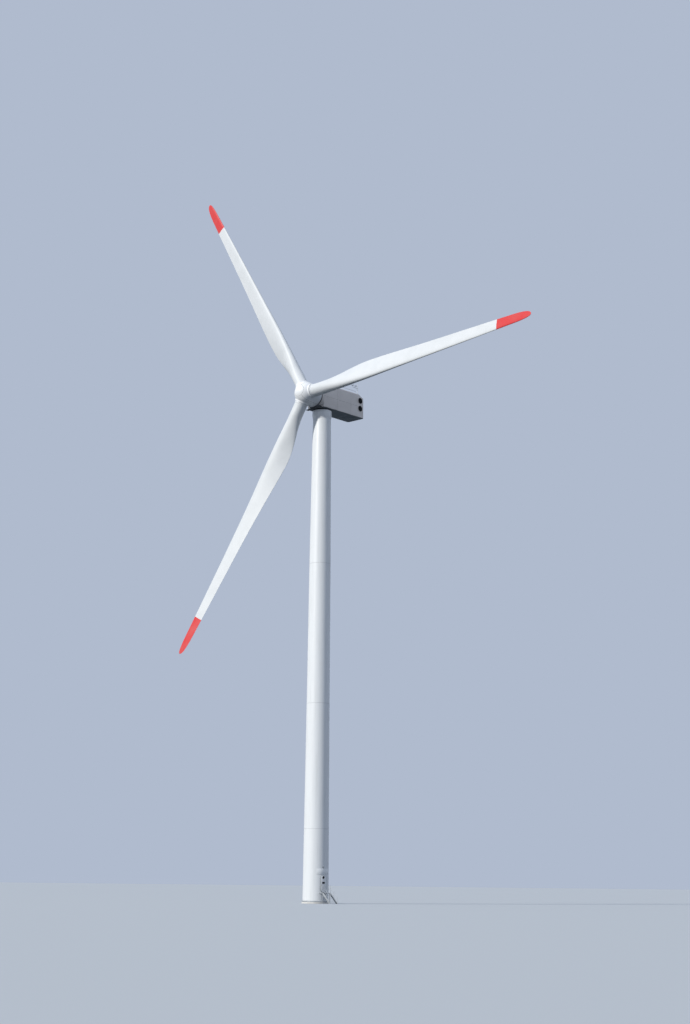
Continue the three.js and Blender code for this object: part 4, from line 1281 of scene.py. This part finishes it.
def sliced(mesh, axis, low, high):
    """The part of a closed mesh between two planes, closed again."""
    work = bmesh.new()
    work.from_mesh(mesh)
    for value, sign in ((low, -1), (high, 1)):
        normal = [0, 0, 0]
        normal[axis] = sign
        place = [0, 0, 0]
        place[axis] = value
        everything = work.verts[:] + work.edges[:] + work.faces[:]
        cut = bmesh.ops.bisect_plane(work, geom=everything, plane_co=place, plane_no=normal, clear_outer=True)
        rim = [e for e in cut["geom_cut"] if isinstance(e, bmesh.types.BMEdge)]
        if rim:
            bmesh.ops.edgeloop_fill(work, edges=rim)
    result = bpy.data.meshes.new("slice")
    work.to_mesh(result)
    work.free()
    result.materials.append(HOUSING)
    return result


def paint_underside_shade(mesh):
    """Gives the faces that look down the darker underside gelcoat: painted shade."""
    mesh.materials.append(UNDERSIDE_SHADE_GELCOAT)
    for face in mesh.polygons:
        if face.normal.z < -0.75:
            face.material_index = len(mesh.materials) - 1
    return mesh


def make_housing():
    whole = housing_shape()
    stations = [NACELLE_FRONT, *PANEL_JOINTS, NACELLE_TAIL]
    levels = {
        "nacelle_lower_shell": (NACELLE_FLOOR - M, NACELLE_SPLIT - PANEL_GAP / 2),
        "nacelle_upper_shell": (NACELLE_SPLIT + PANEL_GAP / 2, NACELLE_ROOF + M),
    }
    for node, (z_low, z_high) in levels.items():
        level = sliced(whole, 2, z_low, z_high)
        parts = []
        for start, end in zip(stations, stations[1:]):
            low = start + (PANEL_GAP / 2 if start in PANEL_JOINTS else -M)
            high = end - (PANEL_GAP / 2 if end in PANEL_JOINTS else -M)
            parts.append(sliced(level, 1, low, high))
        panels = merged(parts)
        if node == "nacelle_lower_shell":
            paint_underside_shade(panels)
        piece(node + "_panels", panels, "nacelle", [node])
    inset = 18 * MM
    core = housing_shape()
    middle = Vector((0, (NACELLE_FRONT + NACELLE_TAIL) / 2, (NACELLE_FLOOR + NACELLE_ROOF) / 2))
    length = NACELLE_TAIL - NACELLE_FRONT
    half = Vector((NACELLE_HALF_WIDTH, length / 2, (NACELLE_ROOF - NACELLE_FLOOR) / 2))
    for vertex in core.vertices:
        for axis in range(3):
            vertex.co[axis] = middle[axis] + (vertex.co[axis] - middle[axis]) * (1 - inset / half[axis])
    core.materials.clear()
    core.materials.append(SEAL)
    piece("housing_joint_seals", core, "nacelle")
    make_split_bolts()


def make_split_bolts():
    """Bolted lugs along the joint between the two shells."""
    parts = []
    low = NACELLE_SPLIT - 70 * MM
    high = NACELLE_SPLIT + 70 * MM
    count = 12
    for sign in (-1, 1):
        for i in range(count):
            y = NACELLE_FRONT + 0.5 * M + (NACELLE_TAIL - NACELLE_FRONT - 1.5 * M) * i / (count - 1)
            x = sign * NACELLE_HALF_WIDTH
            near, far = sorted((x - sign * 5 * MM, x + sign * 9 * MM))
            parts.append(block((near, y - 45 * MM, low), (far, y + 45 * MM, high), HOUSING, 5 * MM))
    piece("shell_joint_lugs", parts, "nacelle")


def cowl_reach(angle, power, width, height):
    """Distance from the cowl's middle to its skin at one angle round it."""
    return (abs(math.cos(angle) / width) ** power + abs(math.sin(angle) / height) ** power) ** (-1 / power)


def make_corner_shade_strip():
    """A thin dark strip in the rubber seal's material on the housing's front wall, in the lower left corner
    beside the cowl: painted shade.
    """
    middle = (NACELLE_FLOOR + NACELLE_ROOF) / 2
    side = NACELLE_HALF_WIDTH - 45 * MM
    low = middle - NACELLE_FLOOR - 65 * MM
    front = NACELLE_FRONT - 12 * MM
    steps = 12
    rings = []
    for step in range(steps + 1):
        angle = math.radians(25 + 50 * step / steps)
        inner = cowl_reach(angle, COWL_BACK_POWER, COWL_BACK_WIDTH, COWL_BACK_HEIGHT) + 2 * MM
        outer = max(inner + 2 * MM, min(side / math.cos(angle), low / math.sin(angle)))
        section = [(inner, front), (outer, front), (outer, NACELLE_FRONT), (inner, NACELLE_FRONT)]
        rings.append([Vector((-r * math.cos(angle), y, middle - r * math.sin(angle))) for r, y in section])
    corner_shade = face_outwards(lofted(rings, SEAL))
    piece("cowl_corner_painted_shade", corner_shade, "nacelle")


def make_cowl():
    steps = 12
    sides = 144
    back = Vector((0, NACELLE_FRONT - FIT, (NACELLE_FLOOR + NACELLE_ROOF) / 2))
    front = Vector(
        (0, -OVERHANG + COWL_END * math.cos(SHAFT_TILT), HUB_HEIGHT - COWL_END * math.sin(SHAFT_TILT))
    )
    rings = []
    for step in range(steps + 1):
        part = step / steps
        middle = back.lerp(front, part)
        power = COWL_BACK_POWER + (2 - COWL_BACK_POWER) * part
        width = COWL_BACK_WIDTH + (COWL_RADIUS - COWL_BACK_WIDTH) * part
        height = COWL_BACK_HEIGHT + (COWL_RADIUS - COWL_BACK_HEIGHT) * part
        tilt = SHAFT_TILT * part
        ring = []
        for i in range(sides):
            angle = 2 * math.pi * i / sides
            reach = cowl_reach(angle, power, width, height)
            across = reach * math.cos(angle)
            up = reach * math.sin(angle)
            ring.append(Vector((across, middle.y + up * math.sin(tilt), middle.z + up * math.cos(tilt))))
        rings.append(ring)
    cowl = lofted(rings, HOUSING)
    # The lowest strips take the darker underside gelcoat: painted shade
    cowl.materials.append(UNDERSIDE_SHADE_GELCOAT)
    lowest = sides * 3 / 4 - 0.5
    for index in range(steps * sides):
        if abs(index % sides - lowest) < COWL_SHADE_STRIPS / 2:
            cowl.polygons[index].material_index = 1
    lip = turned(
        [
            (COWL_RADIUS - 90 * MM, 0),
            (COWL_RADIUS - 20 * MM, 0),
            (COWL_RADIUS - 5 * MM, -20 * MM),
            (COWL_RADIUS - 20 * MM, -34 * MM),
            (COWL_RADIUS - 90 * MM, -34 * MM),
        ],
        SEAL,
        ROTOR_PLACE @ moved(0, COWL_END, 0) @ rotated(-90, "X"),
        tube=True,
    )
    piece("front_cowl_skin", [cowl, lip], "nacelle", ["nacelle_front_cowl"])
    make_corner_shade_strip()


def make_vents():
    for side, sign in (("right", 1), ("left", -1)):
        for level, height in VENT_HEIGHTS.items():
            at = (sign * NACELLE_HALF_WIDTH, VENT_Y, NACELLE_FLOOR + height)
            grille = round_grille(at, VENT_RADIUS, VENT_DEPTH, sign, HOUSING)
            name = f"vent_grille_{side}_{level}"
            piece(name, grille, "nacelle", [f"vent_{side}_{level}"])


def make_roof():
    low = Vector((-0.5 * M, 2.6 * M, NACELLE_ROOF))
    high = Vector((0.5 * M, 3.6 * M, NACELLE_ROOF + 0.1 * M))
    lid = block((low.x, low.y, low.z), (high.x, high.y, high.z), HOUSING, 22 * MM)
    grip = bar(
        [
            (-90 * MM, low.y + 120 * MM, high.z - 5 * MM),
            (-90 * MM, low.y + 120 * MM, high.z + 45 * MM),
            (90 * MM, low.y + 120 * MM, high.z + 45 * MM),
            (90 * MM, low.y + 120 * MM, high.z - 5 * MM),
        ],
        9 * MM,
        ZINC,
        bend=20 * MM,
    )
    piece("roof_hatch_lid", [lid, grip], "nacelle", ["roof_hatch"])
    strips = [
        block(
            (sign * 0.9 * M - 0.25 * M, -0.6 * M, NACELLE_ROOF - 2 * MM),
            (sign * 0.9 * M + 0.25 * M, 6.7 * M, NACELLE_ROOF + 4 * MM),
            WALKWAY,
            2 * MM,
        )
        for sign in (-1, 1)
    ]
    piece("roof_walkway", strips, "nacelle")
    radius = 25 * MM
    height = 0.45 * M
    for side, sign in (("right", 1), ("left", -1)):
        x = sign * 1.35 * M
        top = NACELLE_ROOF
        ends = (2.0 * M, 6.5 * M)
        hoop = [(x, ends[0], top), (x, ends[0], top + height), (x, ends[1], top + height), (x, ends[1], top)]
        parts = [bar(hoop, radius, ZINC, bend=110 * MM, sides=16)]
        for y in (3.5 * M, 5.0 * M):
            parts.append(bar([(x, y, top), (x, y, top + height)], radius * 0.9, ZINC))
        for y in (2.0 * M, 3.5 * M, 5.0 * M, 6.5 * M):
            parts.append(
                block((x - 60 * MM, y - 60 * MM, top), (x + 60 * MM, y + 60 * MM, top + 12 * MM), ZINC)
            )
        name = f"roof_rail_{side}"
        piece(name + "_tube", parts, "nacelle", [name])


def make_underside():
    low = Vector((-0.75 * M, 5.4 * M, NACELLE_FLOOR - 0.04 * M))
    high = Vector((0.75 * M, 7.2 * M, NACELLE_FLOOR))
    # The lid takes the darker underside gelcoat: painted shade
    lid = block(tuple(low), (high.x, high.y, high.z + 2 * MM), UNDERSIDE_SHADE_GELCOAT, 12 * MM)
    parts = [lid]
    for y in (low.y + 0.2 * M, high.y - 0.2 * M):
        for x in (low.x, high.x):
            sides = sorted((x, x - math.copysign(120 * MM, x)))
            parts.append(
                block(
                    (sides[0], y - 30 * MM, low.z - 12 * MM),
                    (sides[1], y + 30 * MM, low.z + 4 * MM),
                    ZINC,
                    3 * MM,
                )
            )
    piece("floor_hatch_lid", parts, "nacelle", ["floor_hatch"])
    make_front_apron()


def make_front_apron():
    """A thick rubber apron under the gap behind the spinner, stiffened by three ribs on its upper face; its
    dark rubber is partly painted shade under the spinner.
    """
    half_width = 1.75 * M
    front = -2.1 * M
    rear = NACELLE_FRONT - FIT
    low = 78.14 * M
    high = 78.28 * M
    sheet = low + 60 * MM
    parts = [
        block((-half_width, front, low), (half_width, rear, sheet), SEAL, 25 * MM),
        block((-half_width, rear - 60 * MM, low), (half_width, rear, high), SEAL, 10 * MM),
    ]
    for x in (-0.9 * M, 0, 0.9 * M):
        rib = ((x - 30 * MM, front + 80 * MM, sheet - 4 * MM), (x + 30 * MM, rear, high))
        parts.append(block(*rib, SEAL, 12 * MM))
    piece("front_apron_shade_rubber", parts, "nacelle", ["front_apron"])


def make_yaw_bearing():
    for name, (inner, outer, body) in YAW_RINGS.items():
        low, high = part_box(name)
        ring = turned(eased_ring(inner, outer, low.z, high.z, 6 * MM), BEARING_STEEL, tube=True)
        piece(name + "_race", ring, body, [name])


def make_weather_mast():
    """A pole at the roof's rear right corner, with one arm that reaches forward to the two sensors."""
    x = 1.5 * M
    y = 6.88 * M
    base = NACELLE_ROOF
    arm = base + 1.0 * M
    cups = y - 1.2 * M
    vane = y - 0.6 * M
    half = 120 * MM
    radius = 35 * MM
    sensor = arm + 0.2 * M
    parts = [
        block((x - half, y - half, base), (x + half, y + half, base + 20 * MM), ZINC),
        bar([(x, y, base), (x, y, base + 1.45 * M)], radius, ZINC, sides=20),
        bar([(x, y, base + 1.4 * M), (x, y, base + 1.89 * M)], 14 * MM, ZINC),
        bar([(x, y, arm), (x, cups, arm), (x, cups, sensor)], 26 * MM, ZINC, bend=80 * MM, sides=16),
        bar([(x, vane, arm), (x, vane, sensor)], 22 * MM, ZINC, sides=16),
        bar([(x, y, base + 0.55 * M), (x, y - 0.42 * M, arm)], 12 * MM, ZINC),
    ]
    turn = moved(x, y, base + 20 * MM) @ rotated(45, "Z")
    parts.append(bolt_ring(4, 120 * MM, 24 * MM, 16 * MM, turn))
    piece("weather_mast_tube", parts, "nacelle", ["weather_mast"])
    make_anemometer(Vector((x, cups, sensor + FIT)))
    make_wind_vane(Vector((x, vane, sensor + FIT)))


def sensor_housing(at, height):
    outline = [
        (0, 0),
        (46 * MM, 0),
        (50 * MM, 8 * MM),
        (44 * MM, height * 0.45),
        (30 * MM, height * 0.55),
        (28 * MM, height),
        (0, height),
    ]
    return turned(outline, BLACK_PLASTIC, Matrix.Translation(at), sides=32)


def make_anemometer(at):
    parts = [sensor_housing(at, 140 * MM)]
    cup_radius = 55 * MM
    wall = 5 * MM
    outline = []
    for step in range(10):
        angle = math.pi / 2 * step / 9
        outline.append((cup_radius * math.sin(angle), -cup_radius * math.cos(angle)))
    for step in range(9, -1, -1):
        angle = math.pi / 2 * step / 9
        outline.append(((cup_radius - wall) * math.sin(angle), -(cup_radius - wall) * math.cos(angle)))
    for i in range(3):
        angle = 2 * math.pi * i / 3
        hub = at + Vector((0, 0, 110 * MM))
        centre = hub + Vector((math.cos(angle), math.sin(angle), 0)) * 150 * MM
        parts.append(bar([hub, centre - (centre - hub) * 0.3], 9 * MM, BLACK_PLASTIC))
        opens = Matrix.Rotation(angle, 4, "Z") @ rotated(-90, "X")
        parts.append(turned(outline, BLACK_PLASTIC, Matrix.Translation(centre) @ opens, sides=28))
    piece("anemometer_rotor", parts, "nacelle", ["anemometer_cups"])


def make_wind_vane(at):
    height = at.z + 120 * MM
    boom = [(at.x, at.y - 0.2 * M, height), (at.x, at.y + 0.3 * M, height)]
    weight = turned(
        [(0, 0), (16 * MM, 6 * MM), (20 * MM, 24 * MM), (14 * MM, 60 * MM), (0, 66 * MM)],
        BLACK_PLASTIC,
        moved(at.x, at.y - 0.16 * M, height) @ rotated(90, "X"),
        sides=24,
    )
    fin = slab(
        [(0.12 * M, -0.03 * M), (0.32 * M, -0.09 * M), (0.32 * M, 0.11 * M), (0.16 * M, 0.05 * M)],
        8 * MM,
        BLACK_PLASTIC,
        moved(at.x - 4 * MM, at.y, height) @ FACING_DOOR,
        bevel=2 * MM,
    )
    parts = [sensor_housing(at, 160 * MM), bar(boom, 10 * MM, BLACK_PLASTIC), weight, fin]
    piece("wind_vane_fin", parts, "nacelle", ["wind_vane"])


# Rotor


def blade_frame(number):
    """A blade's own frame: span along +Z, leading edge to +X and upwind along -Y."""
    return ROTOR_PLACE @ Matrix.Rotation(BLADE_PHASE + 2 * math.pi * number / BLADE_COUNT, 4, "Y")


def spinner_outline():
    """Radius and height of the spinner along the shaft, from the middle of the rear plate to the nose."""
    radius_at = curve_through(SKIRT_STATIONS, 1)
    ease = 30 * MM
    outline = [(0, -SPINNER_REAR), (radius_at(SPINNER_REAR / M) * M - ease, -SPINNER_REAR)]
    steps = 24
    for step in range(steps):
        behind = (SPINNER_REAR - ease) * (1 - step / steps)
        outline.append((radius_at(behind / M) * M, -behind))
    steps = 60
    for step in range(steps + 1):
        angle = math.pi / 2 * (1 - step / steps)
        radius = SPINNER_RADIUS * math.sin(angle) if step < steps else 0
        outline.append((radius, SPINNER_RADIUS * math.cos(angle)))
    return outline


def make_spinner():
    shell = turned(spinner_outline(), SPINNER_SKIN, ROTOR_PLACE @ ALONG_SHAFT, sides=180)
    parts = []
    far = 2.2 * M
    lower = 2 * MM
    ease = 8 * MM
    for number in range(BLADE_COUNT):
        place = blade_frame(number)
        hollow = [
            (0, BEARING_SEAT),
            (SOCKET_RADIUS, BEARING_SEAT),
            (SOCKET_RADIUS, SLEEVE_END - lower),
            (COLLAR_SPACE, SLEEVE_END - lower),
            (COLLAR_SPACE, far),
            (0, far),
        ]
        shell = cut(shell, turned(hollow, SPINNER_SKIN, place, sides=120))
        sleeve = [
            (SOCKET_RADIUS - lower, BEARING_SEAT - 50 * MM),
            (SOCKET_RADIUS - lower, SLEEVE_END - ease),
            (SOCKET_RADIUS + ease, SLEEVE_END),
            (SLEEVE_RADIUS - ease, SLEEVE_END),
            (SLEEVE_RADIUS, SLEEVE_END - ease),
            *((SLEEVE_RADIUS + outside * MM, height * M) for outside, height in SLEEVE_FLARE),
        ]
        parts.append(turned(sleeve, SPINNER_SKIN, place, sides=120, tube=True))
    piece("spinner_shell", [shell, *parts], "rotor", ["spinner"])
    make_spinner_seams()


def make_spinner_seams():
    """Sealed joints of the spinner: three between the blades and one round the nose cap."""
    width = 16 * MM
    cap = math.radians(32)
    outline = [(r, z) for r, z in spinner_outline()[2:] if r > SPINNER_RADIUS * math.sin(cap)]
    parts = []
    for number in range(BLADE_COUNT):
        side = BLADE_PHASE + 2 * math.pi * (number + 0.5) / BLADE_COUNT
        across = Vector((math.cos(side), 0, -math.sin(side)))
        rings = []
        for radius, ahead in outline:
            place = Vector((math.sin(side) * radius, -ahead, math.cos(side) * radius))
            out = Vector((place.x, -max(ahead, 0), place.z)).normalized()
            deep = place - out * 6 * MM
            high = place + out * 2 * MM
            top = across * width * 0.8
            rings.append([deep - across * width, high - top, high + top, deep + across * width])
        parts.append(face_outwards(lofted(rings, SEAL, ROTOR_PLACE)))
    ring = []
    for change, lift in ((-0.5, -3), (-0.4, 2), (0.4, 2), (0.5, -3)):
        angle = cap + change * 2 * width / SPINNER_RADIUS
        r = SPINNER_RADIUS + lift * MM
        ring.append((r * math.sin(angle), r * math.cos(angle)))
    parts.append(turned(ring, SEAL, ROTOR_PLACE @ ALONG_SHAFT, sides=120, tube=True))
    piece("spinner_seams", parts, "rotor")


def make_shaft():
    """The short length of main shaft that shows behind the spinner, with its bolted flange."""
    radius = 0.9 * M
    neck = 0.74 * M
    ease = 8 * MM
    start = SPINNER_REAR + FIT
    rear = start + 50 * MM
    end = COWL_END - FIT
    outline = [
        (0, start),
        (radius, start),
        (radius, rear - ease),
        (radius - ease, rear),
        (neck, rear),
        (neck, end),
        (0, end),
    ]
    place = ROTOR_PLACE @ rotated(-90, "X")
    shaft = turned(outline, BEARING_STEEL, place, sides=96)
    bolts = bolt_ring(48, 0.82 * M, 56 * MM, 46 * MM, place @ moved(0, 0, rear))
    piece("main_shaft_flange", [shaft, bolts], "rotor", ["main_shaft"])


def dress_cad_nodes():
    """Finishes of the CAD meshes that are kept as they are."""
    finishes = {f"pitch_bearing_{number}": BEARING_STEEL for number in range(1, BLADE_COUNT + 1)}
    finishes["entrance_floor"] = ZINC
    for name, material in finishes.items():
        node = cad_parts[name]
        node.data.materials.clear()
        node.data.materials.append(material)


def slopes(values, places):
    """Slopes for a smooth curve through values at places, flat where the values turn round."""
    result = []
    for i in range(len(values)):
        before = max(i - 1, 0)
        after = min(i + 1, len(values) - 1)
        left = (values[i] - values[before]) / max(places[i] - places[before], 1e-9)
        right = (values[after] - values[i]) / max(places[after] - places[i], 1e-9)
        if 0 < i < len(values) - 1 and left * right <= 0:
            result.append(0.0)
        else:
            result.append((values[after] - values[before]) / (places[after] - places[before]))
    return result


def curve_through(stations, column):
    """A smooth function of radius through one column of the blade's stations."""
    places = [row[0] for row in stations]
    values = [row[column] for row in stations]
    grades = slopes(values, places)

    def at(radius):
        i = min(max(bisect.bisect_right(places, radius) - 1, 0), len(places) - 2)
        span = places[i + 1] - places[i]
        t = min(max((radius - places[i]) / span, 0), 1)
        a = (1 + 2 * t) * (1 - t) ** 2 * values[i]
        b = t * (1 - t) ** 2 * span * grades[i]
        c = t**2 * (3 - 2 * t) * values[i + 1]
        d = t**2 * (t - 1) * span * grades[i + 1]
        return a + b + c + d

    return at


def blade_section(radius, chord, thickness, nose, twist):
    """Points round the blade at one radius, in the blade's frame, in metres of the model."""
    span = max(0.0, (radius - PREBEND_START) / (TIP_RADIUS - PREBEND_START))
    upwind = -TIP_PREBEND * span**PREBEND_POWER
    roundness = min(max((thickness - 0.4) / 0.6, 0), 1) ** 0.7
    camber = 0.03 * (1 - roundness)
    c = math.cos(math.radians(twist))
    s = math.sin(math.radians(twist))
    points = []
    for i in range(SECTION_POINTS):
        angle = 2 * math.pi * i / SECTION_POINTS
        along = (1 - math.cos(angle)) / 2
        wing = 5 * (
            0.2969 * math.sqrt(along) - 0.126 * along - 0.3516 * along**2 + 0.2843 * along**3 - 0.1 * along**4
        )
        circle = math.sqrt(max(0, along * (1 - along)))
        half = thickness * (wing + (circle - wing) * roundness)
        side = 1 if math.sin(angle) >= 0 else -1
        across = camber * 4 * along * (1 - along) + side * max(half, 0.002)
        ahead = (nose - along) * chord
        behind = across * chord
        points.append(Vector((ahead * c + behind * s, behind * c - ahead * s + upwind, radius)))
    return points


def blade_radii():
    """Where the blade's rings lie: closer towards the tip, and one at the edge of the red paint."""
    even = [math.sin(math.pi / 2 * step / BLADE_RINGS) for step in range(BLADE_RINGS + 1)]
    radii = [BLADE_ROOT + (TIP_RADIUS - BLADE_ROOT) * value for value in even]
    nearest = min(range(len(radii)), key=lambda i: abs(radii[i] - RED_TIP_START))
    radii[nearest] = RED_TIP_START
    return radii


def make_blade(number):
    first = BLADE_STATIONS[0]
    stations = [(BLADE_ROOT / M, *first[1:]), *BLADE_STATIONS, (TIP_RADIUS / M, TIP_CHORD, 0.3, 0.5, 2)]
    chord, thickness, nose, twist = (curve_through(stations, column) for column in (1, 2, 3, 4))
    radii = blade_radii()
    rings = []
    for radius in radii:
        r = radius / M
        rings.append(blade_section(radius, chord(r) * M, thickness(r), nose(r), twist(r)))
    mesh = lofted(rings, BLADE_SKIN)
    mesh.materials.append(RED_SKIN)
    for face in mesh.polygons:
        if face.center.z > RED_TIP_START:
            face.material_index = 1
    worn = mesh.attributes.new("leading_edge", "FLOAT", "POINT")
    for index in range(len(mesh.vertices)):
        ring, i = divmod(index, SECTION_POINTS)
        along = (1 - math.cos(2 * math.pi * i / SECTION_POINTS)) / 2
        outboard = min(max((radii[ring] / M - 12) / 20, 0), 1)
        worn.data[index].value = max(0, 1 - along / 0.09) * outboard
    mesh.transform(blade_frame(number))
    name = f"blade_{number + 1}"
    piece(name + "_skin", mesh, name, [name], smooth=math.radians(50))
    make_rain_collar(number)


def make_rain_collar(number):
    """The ring round the blade's root that sheds rain clear of the spinner's sleeve."""
    root = BLADE_STATIONS[0][1] * M / 2
    ease = 8 * MM
    outline = [
        (root - 6 * MM, COLLAR_START),
        (COLLAR_RADIUS - ease, COLLAR_START),
        (COLLAR_RADIUS, COLLAR_START + ease),
        (COLLAR_RADIUS, COLLAR_END - 60 * MM),
        (root - 6 * MM, COLLAR_END),
    ]
    collar = turned(outline, SPINNER_SKIN, blade_frame(number), sides=96, tube=True)
    name = f"blade_{number + 1}"
    piece(name + "_rain_collar", collar, name)


make_foundation()
make_tower()
make_tower_joints()
make_door_frame()
make_door_leaf()
make_door_fittings()
make_platform()
make_stair()
make_rails()
make_yaw_bearing()
make_housing()
make_cowl()
make_vents()
make_roof()
make_underside()
make_weather_mast()
make_spinner()
make_shaft()
dress_cad_nodes()
for blade in range(BLADE_COUNT):
    make_blade(blade)


# Stage and light


def make_floor():
    """A plain pale floor, a hair below the foundation's underside, that throws no light up at the nacelle."""
    top = -0.001
    under = -0.01
    outline = [(0, top), (40, top), (400, top), (4000, top), (4000, under), (0, under)]
    disc = turned(outline, layered("stage_floor", 0.9, "#BFC4C8"), sides=96)
    thing = bpy.data.objects.new("floor", disc)
    bpy.context.scene.collection.objects.link(thing)
    thing.visible_diffuse = False
    thing.visible_glossy = False


def make_light():
    """Soft key light from the front left of the camera, and a backdrop that fills the shade from above."""
    world = bpy.data.worlds.new("backdrop")
    bpy.context.scene.world = world
    world.use_nodes = True
    tree = world.node_tree
    background = tree.nodes["Background"]
    direction = add_node(tree, "ShaderNodeTexCoord", out="Generated")
    up = add_node(tree, "ShaderNodeSeparateXYZ", {0: direction}, "Z")
    above = add_node(tree, "ShaderNodeMapRange", {"Value": up, "From Min": -0.05, "From Max": -0.02})
    colours = {0: above, 6: "#525A63", 7: "#B0BBCE"}
    mix = add_node(tree, "ShaderNodeMix", colours, 2, data_type="RGBA")
    tree.links.new(mix, background.inputs["Color"])
    key = bpy.data.lights.new("key", "SUN")
    key.energy = KEY_ENERGY
    key.angle = KEY_SIZE
    key.color = KEY_COLOUR
    lamp = bpy.data.objects.new("key", key)
    bpy.context.scene.collection.objects.link(lamp)
    ahead = math.cos(KEY_HEIGHT)
    toward = Vector((math.sin(KEY_BEARING) * ahead, -math.cos(KEY_BEARING) * ahead, math.sin(KEY_HEIGHT)))
    lamp.matrix_world = toward.to_track_quat("Z", "Y").to_matrix().to_4x4()
    bpy.context.scene.view_settings.view_transform = "Standard"


make_floor()
make_light()
